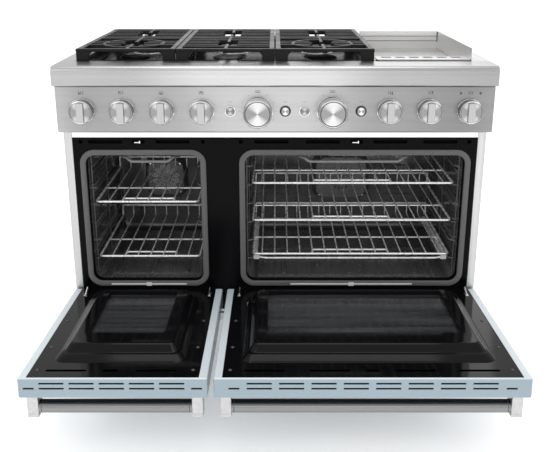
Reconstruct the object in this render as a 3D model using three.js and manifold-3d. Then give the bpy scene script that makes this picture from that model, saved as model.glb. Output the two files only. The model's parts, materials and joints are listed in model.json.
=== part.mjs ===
// Freestanding 48 inch gas range: two ovens with drop-down doors, six burners and a griddle.
// Millimetres. X runs left to right, Y from the cook to the wall, Z up from the floor.
// While the range is laid out, Y = 0 is the plane of the oven front frame and X = 0 the middle.
// The last lines move the whole range so that its origin is the bottom centre of its box.
import * as THREE from 'three';
import { mergeVertices } from 'three/addons/utils/BufferGeometryUtils.js';
import Module from 'manifold-3d';

const wasm = await Module();
wasm.setup();

// ---------------------------------------------------------------- driving dimensions
const WIDTH = 1216;            // over the cooktop
const COOKTOP_Z = 914;         // floor to the cooktop rim
const BODY_DEPTH = 599;        // oven front frame to the back panel
const LEG_HEIGHT = 100;
const SHEET = 2;               // body and cooktop sheet steel
const GAP = 0.3;               // between fixed pieces that touch
const MOVE = 0.6;              // between pieces that turn or slide

const RIM_DROP = 19;            // turned-down edge of the cooktop
const REAR_TRIM = { y: 14, z: 8 };
const BULLNOSE_HEIGHT = 55;
const BULLNOSE_REACH = 66;     // in front of the oven frame
const PANEL_HEIGHT = 132.5;
const PANEL_REACH = 52;
const TRIM_HEIGHT = 26;        // bright strip under the control panel
const POST_WIDTH = 24;         // front edge of each side panel
const FRAME_THICK = 16;
const KICK_HEIGHT = 55;
const KICK_SETBACK = 34;

const LEFT_DOOR_WIDTH = 446.5;
const DOOR_GAP = 14;
const DOOR_SIDE = 3;           // door edge inside the range's side
const DOOR_THICK = 52;
const DOOR_BELOW_PIN = 16;     // door's lower edge under its hinge pin
const DOOR_TOP_GAP = 9.5;      // closed door to the control panel
const PIN_DEPTH = 16;          // hinge pin behind the door's inner face
const PIN_Y = -24;
const PIN_ABOVE_BASE = 113;
const OPEN_ANGLE = 87.2;       // degrees, where the door rests open

const GASKET_WIDTH = 17;
const GASKET_PROUD = 7.4;
const GASKET_RADIUS = 43;
const LEFT_GASKET = { side: 41.4, toGap: 40.5 };    // door edges to the gasket, outer and inner side
const RIGHT_GASKET = { side: 39.5, toGap: 40.5 };
const GASKET_TOP = 36;         // frame top to the gasket
const GASKET_BOTTOM = 23;      // hinge pin to the gasket
const LINER_SHEET = 2;
const LINER_DEPTH = 420;
const LEDGE_HEIGHT = 5;
const LEDGE_SHORT = 3;         // ledge's edge inside the rack's side rod
const FIRST_RACK = 65;         // oven floor to the lowest rack
const TOP_RACK = 36.5;         // top rack position to the oven roof
const RACK_POSITIONS = 6;

const RACK_ROD = 7;
const RACK_WIRE = 4;
const RACK_PITCH = 38.6;
const RACK_FRONT = 32;         // oven frame to the rack's front bar
const RACK_TO_WALL = 50;       // rack's rear bar to the oven's back wall
const RACK_LIP = 38;           // upturned back of a rack
const GLIDE_LIFT = 7.6;        // the roll-out rack above a rack that lies on its ledges

const GRATE_WIDTH = 282;
const GRATE_HEIGHT = 34;
const GRATE_FRONT = 38;        // oven frame to the grates
const GRATE_REAR = 34;         // grates to the back
const GRATE_RAIL = 22;
const GRATE_BAR = 10;
const RING_RADIUS = 88;
const PAN_DEPTH = 30;
const LEFT_RIM = 44;           // cooktop edge to the grates
const RIGHT_RIM = 53;          // cooktop edge to the griddle
const BURNER_RADIUS = 46;
const GRIDDLE_DROP = 24;       // cooktop rim down to the griddle
const GRIDDLE_THICK = 12;
const TRAY_DEPTH = 62;
const SPLASH_HEIGHT = 36;
const SPLASH_SHEET = 3;
const SPLASH_SETBACK = 112;    // griddle's rear wall in front of the back panel

const KNOB = { skirt: 35, face: 32, ring: 9, body: 23, grip: { width: 20, depth: 30 }, shaft: 5 };
const OVEN_KNOB = { skirt: 42, face: 39.5, ring: 10, body: 44, shaft: 5 };
const BUTTON = { radius: 14, depth: 7, travel: 3 };
const PANEL_END = 75;          // range side to the first and last knob

const HANDLE_BAR = 16.5;       // radius
const HANDLE_AXIS = 39.5;      // door face to the bar's axis
const HANDLE_REACH = 61;
const POST = { x: 27, z: 36, side: 13, top: 15 };
const DOOR_SKIN = 2;
const FLANGE = 20;
const PLUG_STEP = { low: 12, high: 28 };            // heights of the inner panel's two steps
const PLUG_SIDE = { low: 14, high: 33 };            // how far each step pulls in at the sides
const PLUG_TOP = { low: 22, high: 50 };
const PLUG_BOTTOM = { low: 5, high: 12 };
const WINDOW_SIDE = 30;        // plateau edge to the window
const WINDOW_TOP = 56;
const WINDOW_BOTTOM = 9;
const WINDOW_RECESS = 12;
const PANE = 4;
const DOOR_SLOT = { length: 59, short: 26, width: 3.6, margin: 45 };
const DOOR_SLOT_ROWS = [14, 27];                    // door's inner face to the two rows of slots
const VENT = { length: 98, width: 9 };              // slots in the front frame and the inner panels
const LATCH = { length: 36, width: 12 };
const FRAME_VENT_DROP = 13.5;                       // frame top to its row of slots
const BACK_SHEET = 1.5;

// ---------------------------------------------------------------- places that follow from them
const half = WIDTH / 2;
const bodyHalf = half - 2.5;                        // side panels sit inside the cooktop's edge
const baseZ = LEG_HEIGHT;
const panelTop = COOKTOP_Z - BULLNOSE_HEIGHT;
const panelBottom = panelTop - PANEL_HEIGHT;
const frameTop = panelBottom - TRIM_HEIGHT;
const frameHalf = bodyHalf - POST_WIDTH;
const pinZ = baseZ + PIN_ABOVE_BASE;
const doorLeft = -half + DOOR_SIDE;
const doorRight = half - DOOR_SIDE;
const doorTop = panelBottom - DOOR_TOP_GAP;
const sealBottom = pinZ + GASKET_BOTTOM;
const sealTop = frameTop - GASKET_TOP;
const panX0 = -half + LEFT_RIM - 2;
const grateX0 = -half + LEFT_RIM;
const panX1 = grateX0 + 3 * GRATE_WIDTH + 2;
const grateY0 = GRATE_FRONT;
const grateY1 = BODY_DEPTH - GRATE_REAR;
const griddleX0 = panX1 + 4;
const griddleX1 = half - RIGHT_RIM;
const splashY = BODY_DEPTH - SPLASH_SETBACK;

// An oven's gasket, opening and door, from the door's two sides.
function ovenPlan(x0, x1, sealX0, sealX1) {
  return {
    door: { x0, x1 },
    seal: { x0: sealX0, x1: sealX1, z0: sealBottom, z1: sealTop },
    cavity: {
      x0: sealX0 + GASKET_WIDTH, x1: sealX1 - GASKET_WIDTH,
      z0: sealBottom + GASKET_WIDTH, z1: sealTop - GASKET_WIDTH,
    },
  };
}
const leftDoorEnd = doorLeft + LEFT_DOOR_WIDTH;
const rightDoorStart = leftDoorEnd + DOOR_GAP;
const leftOven = ovenPlan(doorLeft, leftDoorEnd,
  doorLeft + LEFT_GASKET.side, leftDoorEnd - LEFT_GASKET.toGap);
const rightOven = ovenPlan(rightDoorStart, doorRight,
  rightDoorStart + RIGHT_GASKET.toGap, doorRight - RIGHT_GASKET.side);
leftOven.rackGap = 9;          // rack's side rods to the oven's side walls
rightOven.rackGap = 17;
leftOven.slotPitch = 70.8;     // slots along the door's top edge
rightOven.slotPitch = 76;
leftOven.vents = [0.21, 0.74];                      // shares of the width at the vents' middles
rightOven.vents = [0.14, 0.36, 0.65, 0.865];
leftOven.latch = 0.47;
rightOven.latch = 0.505;
const rackPitchZ = (sealTop - sealBottom - 2 * GASKET_WIDTH - FIRST_RACK - TOP_RACK)
  / (RACK_POSITIONS - 1);
const rackZ = (oven, position) => oven.cavity.z0 + FIRST_RACK + (position - 1) * rackPitchZ;

// ---------------------------------------------------------------- solids
function toSolid(geometry) {
  const bare = geometry.clone();
  bare.deleteAttribute('normal');
  bare.deleteAttribute('uv');
  const merged = mergeVertices(bare, 1e-4);
  return new wasm.Manifold(new wasm.Mesh({
    numProp: 3,
    vertProperties: new Float32Array(merged.attributes.position.array),
    triVerts: new Uint32Array(merged.index.array),
  }));
}

function toGeometry(solid) {
  const mesh = solid.getMesh();
  const geometry = new THREE.BufferGeometry();
  geometry.setAttribute('position', new THREE.BufferAttribute(mesh.vertProperties, 3));
  geometry.setIndex(new THREE.BufferAttribute(mesh.triVerts, 1));
  geometry.computeVertexNormals();
  return geometry;
}

const join = (...solids) => solids.flat().reduce((a, b) => a.add(b));
const cut = (solid, ...tools) => tools.flat().reduce((a, b) => a.subtract(b), solid);

function block(x0, x1, y0, y1, z0, z1) {
  const geometry = new THREE.BoxGeometry(x1 - x0, y1 - y0, z1 - z0);
  geometry.translate((x0 + x1) / 2, (y0 + y1) / 2, (z0 + z1) / 2);
  return toSolid(geometry);
}

// A round bar from a to b, both [x, y, z], along one of the axes.
function rod(a, b, radius, sides = 16) {
  const from = new THREE.Vector3(...a);
  const to = new THREE.Vector3(...b);
  const geometry = new THREE.CylinderGeometry(radius, radius, from.distanceTo(to), sides);
  const turn = new THREE.Quaternion().setFromUnitVectors(
    new THREE.Vector3(0, 1, 0), to.clone().sub(from).normalize());
  geometry.applyQuaternion(turn);
  const middle = from.add(to).multiplyScalar(0.5);
  geometry.translate(middle.x, middle.y, middle.z);
  return toSolid(geometry);
}

// A turned piece: [radius, height] points around an axis through `at`, pointing along `along`.
function turned(profile, at, along, sides = 24) {
  const points = profile.map(([r, h]) => new THREE.Vector2(r, h));
  const geometry = new THREE.LatheGeometry(points, sides);
  const turn = new THREE.Quaternion().setFromUnitVectors(
    new THREE.Vector3(0, 1, 0), new THREE.Vector3(...along));
  geometry.applyQuaternion(turn);
  geometry.translate(...at);
  return toSolid(geometry);
}

// A profile in the Y-Z plane, [y, z] points, carried along X from x0 to x1.
function extrudeX(profile, x0, x1) {
  const shape = new THREE.Shape(profile.map(([y, z]) => new THREE.Vector2(y, z)));
  const geometry = new THREE.ExtrudeGeometry(shape, { depth: x1 - x0, bevelEnabled: false });
  geometry.applyMatrix4(new THREE.Matrix4().makeBasis(
    new THREE.Vector3(0, 1, 0), new THREE.Vector3(0, 0, 1), new THREE.Vector3(1, 0, 0)));
  geometry.translate(x0, 0, 0);
  return toSolid(geometry);
}

// Corners of a rounded rectangle in X-Z, the same number whatever its size.
function roundedRing(x0, x1, z0, z1, radius, steps = 3) {
  const points = [];
  const corners = [
    [x1 - radius, z0 + radius, -90], [x1 - radius, z1 - radius, 0],
    [x0 + radius, z1 - radius, 90], [x0 + radius, z0 + radius, 180],
  ];
  for (const [cx, cz, start] of corners) {
    for (let i = 0; i <= steps; i += 1) {
      const angle = THREE.MathUtils.degToRad(start + (90 * i) / steps);
      points.push([cx + radius * Math.cos(angle), cz + radius * Math.sin(angle)]);
    }
  }
  return points;
}

// A solid through rings of [x, z] points, each at its own y, in rising order of y.
function loft(rings, ys) {
  const count = rings[0].length;
  const positions = rings.flatMap((ring, k) => ring.flatMap(([x, z]) => [x, ys[k], z]));
  const index = [];
  for (let k = 0; k + 1 < rings.length; k += 1) {
    for (let i = 0; i < count; i += 1) {
      const a = k * count + i;
      const b = k * count + ((i + 1) % count);
      index.push(a, a + count, b, b, a + count, b + count);
    }
  }
  const last = (rings.length - 1) * count;
  for (let i = 1; i + 1 < count; i += 1) {
    index.push(0, i, i + 1);
    index.push(last, last + i + 1, last + i);
  }
  const geometry = new THREE.BufferGeometry();
  geometry.setAttribute('position', new THREE.Float32BufferAttribute(positions, 3));
  geometry.setIndex(index);
  return toSolid(geometry);
}

// Slots along X through a sheet, with their middles at shares of the width from x0 to x1.
function slotsAt(shares, { length, width }, x0, x1, z, y0, y1) {
  return shares.map((share) => {
    const middle = x0 + share * (x1 - x0);
    return block(middle - length / 2, middle + length / 2, y0, y1, z - width / 2, z + width / 2);
  });
}

// ---------------------------------------------------------------- materials and the scene
const finish = (color, roughness, metalness, extra = {}) => (
  new THREE.MeshStandardMaterial({ color, roughness, metalness, ...extra }));
const steel = () => finish(0xc4c6c8, 0.34, 0.9);
const enamel = () => finish(0x0c0d0e, 0.18, 0.1);
const liner = () => finish(0x3a3c3f, 0.45, 0.2);
const iron = () => finish(0x141415, 0.75, 0.3);
const chrome = () => finish(0xd8dadc, 0.15, 1);
const blue = () => finish(0xa9bbc4, 0.35, 0.3);
const zinc = () => finish(0x8f9294, 0.5, 0.8);
const rubber = () => finish(0x6a6c6e, 0.85, 0);

const range = new THREE.Group();

function place(name, solid, material, parent = range) {
  const mesh = new THREE.Mesh(toGeometry(solid), material);
  mesh.name = name;
  parent.add(mesh);
  return mesh;
}

// ---------------------------------------------------------------- body
const bodyTop = COOKTOP_Z - BULLNOSE_HEIGHT + 34;
function sidePanel(side) {
  const outer = side * bodyHalf;
  const x = (inset) => outer - side * inset;
  const slab = (a, b, ...rest) => block(Math.min(x(a), x(b)), Math.max(x(a), x(b)), ...rest);
  return join(
    slab(0, SHEET, 0, BODY_DEPTH - BACK_SHEET - GAP, baseZ, bodyTop),
    slab(0, POST_WIDTH - GAP, 0, SHEET, baseZ, panelTop - GAP),
    slab(POST_WIDTH - SHEET - GAP, POST_WIDTH - GAP, 0, 14, baseZ, panelTop - GAP),
  );
}

function backPanel() {
  const inlet = rod([inletX, BODY_DEPTH - 20, inletZ], [inletX, BODY_DEPTH + 20, inletZ], 19, 20);
  return cut(block(-bodyHalf, bodyHalf, BODY_DEPTH - BACK_SHEET, BODY_DEPTH, baseZ, bodyTop), inlet);
}

const innerHalf = bodyHalf - SHEET - GAP;
const inletX = innerHalf - 120;
const inletZ = baseZ + 62;
const frameBottom = baseZ + KICK_HEIGHT + GAP;
function basePan() {
  const y1 = BODY_DEPTH - BACK_SHEET - GAP;
  return join(
    block(-innerHalf, innerHalf, KICK_SETBACK, y1, baseZ, baseZ + SHEET),
    block(-frameHalf, frameHalf, KICK_SETBACK, KICK_SETBACK + SHEET, baseZ, baseZ + KICK_HEIGHT),
    block(-innerHalf, innerHalf, y1 - SHEET, y1, baseZ, baseZ + 20),
  );
}

function frontFrame() {
  const mouth = ({ cavity }) => {
    const { x0, x1, z0, z1 } = cavity;
    const ring = roundedRing(x0, x1, z0, z1, GASKET_RADIUS - GASKET_WIDTH);
    return loft([ring, ring], [-5, FRAME_THICK + 5]);
  };
  const plate = block(-frameHalf, frameHalf, 0, FRAME_THICK, frameBottom, frameTop - GAP);
  const z = frameTop - FRAME_VENT_DROP;
  const vents = [leftOven, rightOven].map(({ seal, vents: shares }) => (
    slotsAt(shares, VENT, seal.x0, seal.x1, z, -1, FRAME_THICK + 1)));
  return cut(plate, mouth(leftOven), mouth(rightOven), vents.flat());
}

function bullnose() {
  const z0 = panelTop;
  const z1 = COOKTOP_Z;
  const y0 = -BULLNOSE_REACH;
  const nose = 14;
  const outline = (inset) => {
    const top = z1 - inset;
    const front = y0 + inset;
    const radius = nose - inset;
    const arc = [];
    for (let i = 0; i <= 4; i += 1) {
      const angle = THREE.MathUtils.degToRad(90 + (90 * i) / 4);
      arc.push([front + radius + radius * Math.cos(angle), top - radius + radius * Math.sin(angle)]);
    }
    return arc;
  };
  const back = GRATE_FRONT - 2 - GAP;
  const profile = [
    [back, z1], ...outline(0), [y0, z0 + 5], [y0 + 5, z0], [-4, z0], [-4, z0 + SHEET],
    [y0 + 6, z0 + SHEET], [y0 + SHEET, z0 + 6], ...outline(SHEET).reverse(),
    [back - SHEET, z1 - SHEET], [back - SHEET, z1 - 18], [back, z1 - 18],
  ];
  return extrudeX(profile, -half, half);
}

// ---------------------------------------------------------------- controls
// From left to right, with the share of spare width in front of each.
const CONTROLS = [
  { name: 'burner_knob_1', spec: KNOB, room: 0 },
  { name: 'burner_knob_2', spec: KNOB, room: 4 },
  { name: 'burner_knob_3', spec: KNOB, room: 4 },
  { name: 'burner_knob_4', spec: KNOB, room: 4 },
  { name: 'button_1', spec: BUTTON, room: 3 },
  { name: 'oven_knob_left', spec: OVEN_KNOB, room: 2 },
  { name: 'button_2', spec: BUTTON, room: 2 },
  { name: 'button_3', spec: BUTTON, room: 2.5 },
  { name: 'oven_knob_right', spec: OVEN_KNOB, room: 2 },
  { name: 'button_4', spec: BUTTON, room: 2.4 },
  { name: 'burner_knob_5', spec: KNOB, room: 3 },
  { name: 'burner_knob_6', spec: KNOB, room: 4 },
  { name: 'griddle_knob', spec: KNOB, room: 4 },
];
const reach = ({ spec }) => (spec === BUTTON ? BUTTON.radius : spec.skirt);
function spreadControls() {
  const first = -half + PANEL_END;
  const last = half - PANEL_END + 4;
  const taken = CONTROLS.reduce((sum, c) => sum + 2 * reach(c), 0)
    - reach(CONTROLS[0]) - reach(CONTROLS[CONTROLS.length - 1]);
  const share = (last - first - taken) / CONTROLS.reduce((sum, c) => sum + c.room, 0);
  let x = first;
  return CONTROLS.map((control, i) => {
    if (i > 0) x += reach(CONTROLS[i - 1]) + control.room * share + reach(control);
    return { ...control, x };
  });
}
const controls = spreadControls();
const controlZ = (panelTop + panelBottom) / 2 - 4.5;

function controlPanel() {
  const x1 = bodyHalf - GAP;
  const top = panelTop - GAP;
  const front = -PANEL_REACH;
  const channel = join(
    block(-x1, x1, front, front + SHEET, panelBottom, top),
    block(-x1, x1, front, -GAP, panelBottom, panelBottom + SHEET),
    block(-x1, x1, front, -GAP, top - SHEET, top),
    block(-x1, -x1 + SHEET, front, -GAP, panelBottom, top),
    block(x1 - SHEET, x1, front, -GAP, panelBottom, top),
    block(-frameHalf, frameHalf, -GAP - SHEET, -GAP, frameTop, panelBottom + 12),
  );
  const holes = controls.map(({ x, spec }) => {
    const radius = (spec === BUTTON ? BUTTON.radius : spec.shaft) * 1.06 + MOVE;
    return rod([x, front - 5, controlZ], [x, front + 5, controlZ], radius, 10);
  });
  return cut(channel, holes);
}

// A knob: shaft, skirt ring and face, and a raised bar where it has a grip. It faces the cook.
function knob({ skirt, face, ring, body, grip, shaft }) {
  const dial = turned([
    [0, -14], [shaft, -14], [shaft, MOVE], [skirt, MOVE], [skirt, ring],
    [face, ring], [face, body - 2], [face - 2, body], [0, body],
  ], [0, 0, 0], [0, -1, 0], 24);
  if (!grip) return dial;
  return join(dial, block(-grip.width / 2, grip.width / 2, -grip.depth, -body + 3, -face + 3, face - 3));
}

function pushButton() {
  const { radius, depth, travel } = BUTTON;
  return turned([
    [0, -SHEET - travel], [radius - 3, -SHEET - travel], [radius, 0.5], [radius, depth - 1.5],
    [radius - 1.5, depth], [0, depth],
  ], [0, 0, 0], [0, -1, 0], 16);
}

// ---------------------------------------------------------------- cooktop
function cooktopFrame() {
  const y0 = GRATE_FRONT - 2;
  const under = COOKTOP_Z - RIM_DROP;
  const plate = join(
    block(-half, half, y0, BODY_DEPTH, under, COOKTOP_Z),
    block(-half, half, BODY_DEPTH - REAR_TRIM.y, BODY_DEPTH, under, COOKTOP_Z + REAR_TRIM.z),
  );
  const below = under - 60;
  const skinned = cut(plate,
    block(-half + SHEET, half - SHEET, y0 + SHEET, BODY_DEPTH - SHEET, below, COOKTOP_Z - SHEET));
  const walls = join(
    block(griddleX0, griddleX1 + SPLASH_SHEET, splashY, splashY + SPLASH_SHEET,
      COOKTOP_Z - GRIDDLE_DROP - GRIDDLE_THICK, COOKTOP_Z + SPLASH_HEIGHT),
    block(griddleX1, griddleX1 + SPLASH_SHEET, y0, splashY + SPLASH_SHEET,
      COOKTOP_Z - GRIDDLE_DROP - GRIDDLE_THICK, COOKTOP_Z + SPLASH_HEIGHT),
  );
  const openings = [
    block(panX0 - GAP, panX1 + GAP, y0 - 1, grateY1 + 2 + GAP, below, COOKTOP_Z + 1),
    block(panX1, griddleX1, y0 - 1, splashY, below, COOKTOP_Z + 1),
  ];
  return cut(skinned.add(walls), openings);
}

function burnerPan() {
  const y0 = grateY0 - 2;
  const y1 = grateY1 + 2;
  const rim = 14;
  const top = COOKTOP_Z - GAP;
  const floor = COOKTOP_Z - PAN_DEPTH;
  return cut(
    block(panX0, panX1, y0, y1, floor - SHEET, top),
    block(panX0 + SHEET, panX1 - SHEET, y0 + SHEET, y1 - SHEET, floor, top - SHEET),
    block(panX0 + rim, panX1 - rim, y0 + rim, y1 - rim, floor + 1, top + 5),
  );
}

// Burner base, ported head and cap in one turned piece, standing on the pan.
function burner() {
  const r = BURNER_RADIUS;
  return turned([
    [0, GAP], [r + 6, GAP], [r + 2, 5], [r * 0.74, 8], [r * 0.74, 15], [r, 16], [r, 21],
    [r - 4, 24], [0, 24],
  ], [0, 0, 0], [0, 0, 1], 16);
}

const grateBurnerY = (row) => {
  const middle = (grateY0 + grateY1) / 2;
  return row === 'front' ? (grateY0 + middle) / 2 + 8 : (middle + grateY1) / 2 - 4;
};

// One cast grate, centred on X = 0: outer rails, a ring or stubs over the front burner, fingers.
function grate(ring) {
  const w = GRATE_WIDTH / 2 - 0.5;
  const top = COOKTOP_Z + GRATE_HEIGHT;
  const low = COOKTOP_Z;
  const barLow = top - 14;
  const middle = (grateY0 + grateY1) / 2;
  const frontY = grateBurnerY('front');
  const rearY = grateBurnerY('rear');
  const bar = (x0, x1, y, width = GRATE_BAR) => (
    block(x0, x1, y - width / 2, y + width / 2, barLow, top));
  const spine = (x, y0, y1) => (
    block(x - GRATE_BAR / 2, x + GRATE_BAR / 2, y0, y1, barLow, top));
  const archFoot = 46;
  const parts = [
    cut(block(-w, w, grateY0, grateY0 + 12, low, top),
      block(-w + archFoot, w - archFoot, grateY0 - 1, grateY0 + 13, low - 1, top - 9)),
    cut(block(-w, w, grateY1 - 12, grateY1, low, top),
      block(-w + archFoot, w - archFoot, grateY1 - 13, grateY1 + 1, low - 1, top - 9)),
    block(-w, -w + GRATE_RAIL, grateY0, grateY1, top - 16, top),
    block(w - GRATE_RAIL, w, grateY0, grateY1, top - 16, top),
    bar(-w + 2, w - 2, middle, 16),
  ];
  const inner = BURNER_RADIUS * 0.62;
  const rows = (grateY1 - middle) / 6;
  for (const k of [1, 5]) parts.push(bar(-w + 2, w - 2, middle + k * rows));
  for (const k of [2, 3, 4]) {
    parts.push(bar(-w + 2, -inner, middle + k * rows));
    parts.push(bar(inner, w - 2, middle + k * rows));
  }
  parts.push(spine(0, middle, rearY - inner), spine(0, rearY + inner, grateY1 - 2));
  if (ring) {
    parts.push(turned([
      [RING_RADIUS - 5, 0], [RING_RADIUS + 5, 0], [RING_RADIUS + 5, 13.5],
      [RING_RADIUS - 5, 13.5], [RING_RADIUS - 5, 0],
    ], [0, frontY, barLow], [0, 0, 1], 20));
    parts.push(spine(0, grateY0 + 2, frontY - inner), spine(0, frontY + inner, middle));
    for (const k of [-1, 0, 1]) {
      parts.push(bar(-w + 2, k === 0 ? -inner : -inner - 6, frontY + k * 38));
      parts.push(bar(k === 0 ? inner : inner + 6, w - 2, frontY + k * 38));
    }
  } else {
    parts.push(spine(0, grateY0 + 2, frontY - inner), spine(0, frontY + inner, middle));
    for (const k of [-2, 2]) parts.push(bar(-w + 2, w - 2, frontY + k * 38));
    for (const k of [-1, 0, 1]) {
      parts.push(bar(-w + 2, -inner, frontY + k * 38));
      parts.push(bar(inner, w - 2, frontY + k * 38));
    }
  }
  return join(parts);
}

const griddleTop = COOKTOP_Z - GRIDDLE_DROP;
const trayBack = grateY0 + TRAY_DEPTH;
function griddlePlate() {
  const y1 = splashY - 1;
  const plate = block(griddleX0 + GAP, griddleX1 - 1, trayBack + 1, y1,
    griddleTop - GRIDDLE_THICK, griddleTop);
  const gutter = block(griddleX0 + 14, griddleX1 - 14, y1 - 72, y1 - 66, griddleTop - 3, griddleTop + 1);
  return cut(plate, gutter);
}

// A lift-out trough in front of the griddle, with drain slots along its rear edge.
function greaseTray() {
  const x0 = griddleX0 + 1;
  const x1 = griddleX1 - 1;
  const y0 = grateY0 + 1;
  const top = COOKTOP_Z + 4;
  const low = griddleTop - GRIDDLE_THICK;
  const lid = block(x0, x1, y0, trayBack - 1, top - SHEET, top);
  const trough = cut(
    block(x0 + 4, x1 - 4, y0 + 4, trayBack - 3, low, top - 1),
    block(x0 + 6, x1 - 6, y0 + 6, trayBack - 5, low + SHEET, top - SHEET - 6));
  const slots = [];
  const count = 6;
  const pitch = (x1 - x0 - 24) / count;
  for (let i = 0; i < count; i += 1) {
    const start = x0 + 12 + i * pitch + pitch * 0.14;
    slots.push(block(start, start + pitch * 0.72, trayBack - 18, trayBack - 9, low + 6, top + 5));
  }
  return cut(lid.add(trough), slots);
}

// ---------------------------------------------------------------- ovens
function gasket({ seal }) {
  const { x0, x1, z0, z1 } = seal;
  const g = GASKET_WIDTH;
  const outer = roundedRing(x0, x1, z0, z1, GASKET_RADIUS, 5);
  const inner = roundedRing(x0 + g, x1 - g, z0 + g, z1 - g, GASKET_RADIUS - g, 5);
  const ys = [-GASKET_PROUD, -GAP];
  return cut(loft([outer, outer], ys), loft([inner, inner], [-GASKET_PROUD - 1, 1]));
}

// Five-walled enamelled box with a front flange and a ledge on each side for each rack position.
function ovenLiner(oven) {
  const { x0, x1, z0, z1 } = oven.cavity;
  const front = FRAME_THICK + GAP;
  const back = front + LINER_DEPTH;
  const t = LINER_SHEET;
  const shell = cut(
    join(
      block(x0 - t, x1 + t, front, back + t, z0 - t, z1 + t),
      block(x0 - 14, x1 + 14, front, front + t, z0 - 14, z1 + 14),
    ),
    block(x0, x1, front - 1, back, z0, z1),
    rod([(x0 + x1) / 2, back - 5, (z0 + z1) / 2], [(x0 + x1) / 2, back + 10, (z0 + z1) / 2], 8, 12),
  );
  const wide = oven.rackGap + RACK_ROD - LEDGE_SHORT;
  const ledges = [];
  for (let position = 1; position <= RACK_POSITIONS; position += 1) {
    const top = rackZ(oven, position) - RACK_ROD / 2 - GAP;
    for (const [a, b] of [[x0 - 1, x0 + wide], [x1 - wide, x1 + 1]]) {
      ledges.push(block(a, b, front + 6, back + 1, top - LEDGE_HEIGHT, top));
    }
  }
  return join(shell, ledges);
}

// Wire rack centred on the oven: side rods, front, handle, cross and rear bars, and wires along Y.
function rack(oven, handleReach) {
  const { x0, x1 } = oven.cavity;
  const middle = (x0 + x1) / 2;
  const side = (x1 - x0) / 2 - oven.rackGap - RACK_ROD / 2;
  const y0 = RACK_FRONT;
  const y1 = FRAME_THICK + LINER_DEPTH - RACK_TO_WALL;
  const r = RACK_ROD / 2;
  const w = RACK_WIRE / 2;
  const along = (x, a, b, size, z = 0) => (
    block(middle + x - size, middle + x + size, a, b, z - size, z + size));
  const across = (reachX, y, size, z = 0) => (
    block(middle - reachX, middle + reachX, y - size, y + size, z - size, z + size));
  const count = Math.floor((side - 12) / RACK_PITCH);
  const handleX = handleReach * RACK_PITCH;
  const parts = [
    along(-side, y0 - r, y1 + r, r), along(side, y0 - r, y1 + r, r),
    across(side, y0, r), across(side, y1, r),
    across(side - r + LEDGE_SHORT / 2, (y0 + y1) / 2 - 34, w, -w - 2.2),
    along(-handleX, y0, y0 + 41, w, -w - 1),
    along(handleX, y0, y0 + 41, w, -w - 1),
    across(handleX + w, y0 + 41, w, -w - 2.2),
    block(middle - side - r, middle - side + r, y1 - r, y1 + r, 0, RACK_LIP),
    block(middle + side - r, middle + side + r, y1 - r, y1 + r, 0, RACK_LIP),
    across(side, y1, r, RACK_LIP),
  ];
  for (let k = -count; k <= count; k += 1) {
    const x = middle + k * RACK_PITCH;
    parts.push(along(k * RACK_PITCH, y0, y1, w, w));
    parts.push(block(x - w, x + w, y1 - w, y1 + w, w, RACK_LIP));
  }
  return join(parts);
}

// Frame that carries the roll-out rack: two runners, joined in front by a bar with bent ends.
function glideFrame(oven) {
  const { x0, x1 } = oven.cavity;
  const middle = (x0 + x1) / 2;
  const side = (x1 - x0) / 2 - oven.rackGap - RACK_ROD - 5;
  const y0 = RACK_FRONT + 6;
  const y1 = FRAME_THICK + LINER_DEPTH - RACK_TO_WALL - 14;
  const ledge = -GLIDE_LIFT - RACK_ROD / 2;
  const rackUnder = -1.5 * RACK_WIRE - 2 * MOVE;
  const runner = (x, out) => join(
    block(x - 3, x + 3, y0, y1, -22, rackUnder),
    block(Math.min(x, x + out), Math.max(x, x + out), y0 + 12, y1, ledge + GAP, rackUnder));
  return join(
    runner(middle - side, -RACK_ROD - 3), runner(middle + side, RACK_ROD + 3),
    block(middle - side, middle + side, y0, y0 + 7, -14, -7),
    block(middle - side, middle + side, y1 - 7, y1, -14, -7),
  );
}

// Dished cover over the convection fan, with slots that radiate from its middle.
function fanCover(width, height, dish) {
  const corner = Math.min(width, height) * 0.28;
  const ring = (inset) => roundedRing(-width / 2 + inset, width / 2 - inset,
    -height / 2 + inset, height / 2 - inset, corner - inset * 0.5, 2);
  const shell = cut(
    loft([ring(14), ring(0)], [-dish, 0]),
    loft([ring(14 + LINER_SHEET), ring(LINER_SHEET)], [-dish + LINER_SHEET, 1]));
  const slots = [];
  const count = 8;
  for (let i = 0; i < count; i += 1) {
    const geometry = new THREE.BoxGeometry(height * 0.2, 12, 5);
    geometry.translate(height * 0.22, -dish, 0);
    geometry.rotateY((i * 2 * Math.PI) / count);
    slots.push(toSolid(geometry));
  }
  return cut(shell, slots);
}

// Bladed wheel on a shaft that runs through the oven's back wall.
function fan(radius) {
  const blades = [];
  const count = 6;
  for (let i = 0; i < count; i += 1) {
    const geometry = new THREE.BoxGeometry(radius - 8, 12, 2);
    geometry.translate((radius - 8) / 2 + 6, 0, 0);
    geometry.rotateY((i * 2 * Math.PI) / count);
    blades.push(toSolid(geometry));
  }
  return join(
    rod([0, -8, 0], [0, 30, 0], 5, 8),
    rod([0, -8, 0], [0, 7, 0], 12, 10),
    rod([0, 4.5, 0], [0, 6.5, 0], radius - 3, 14),
    blades,
  );
}

// ---------------------------------------------------------------- doors
// A door is drawn closed, with its hinge pin on the X axis; its inner face looks along +Y.
const doorIn = PIN_DEPTH;
const doorOut = PIN_DEPTH - DOOR_THICK;
const doorLow = -DOOR_BELOW_PIN;
const doorHigh = doorTop - pinZ;

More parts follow.
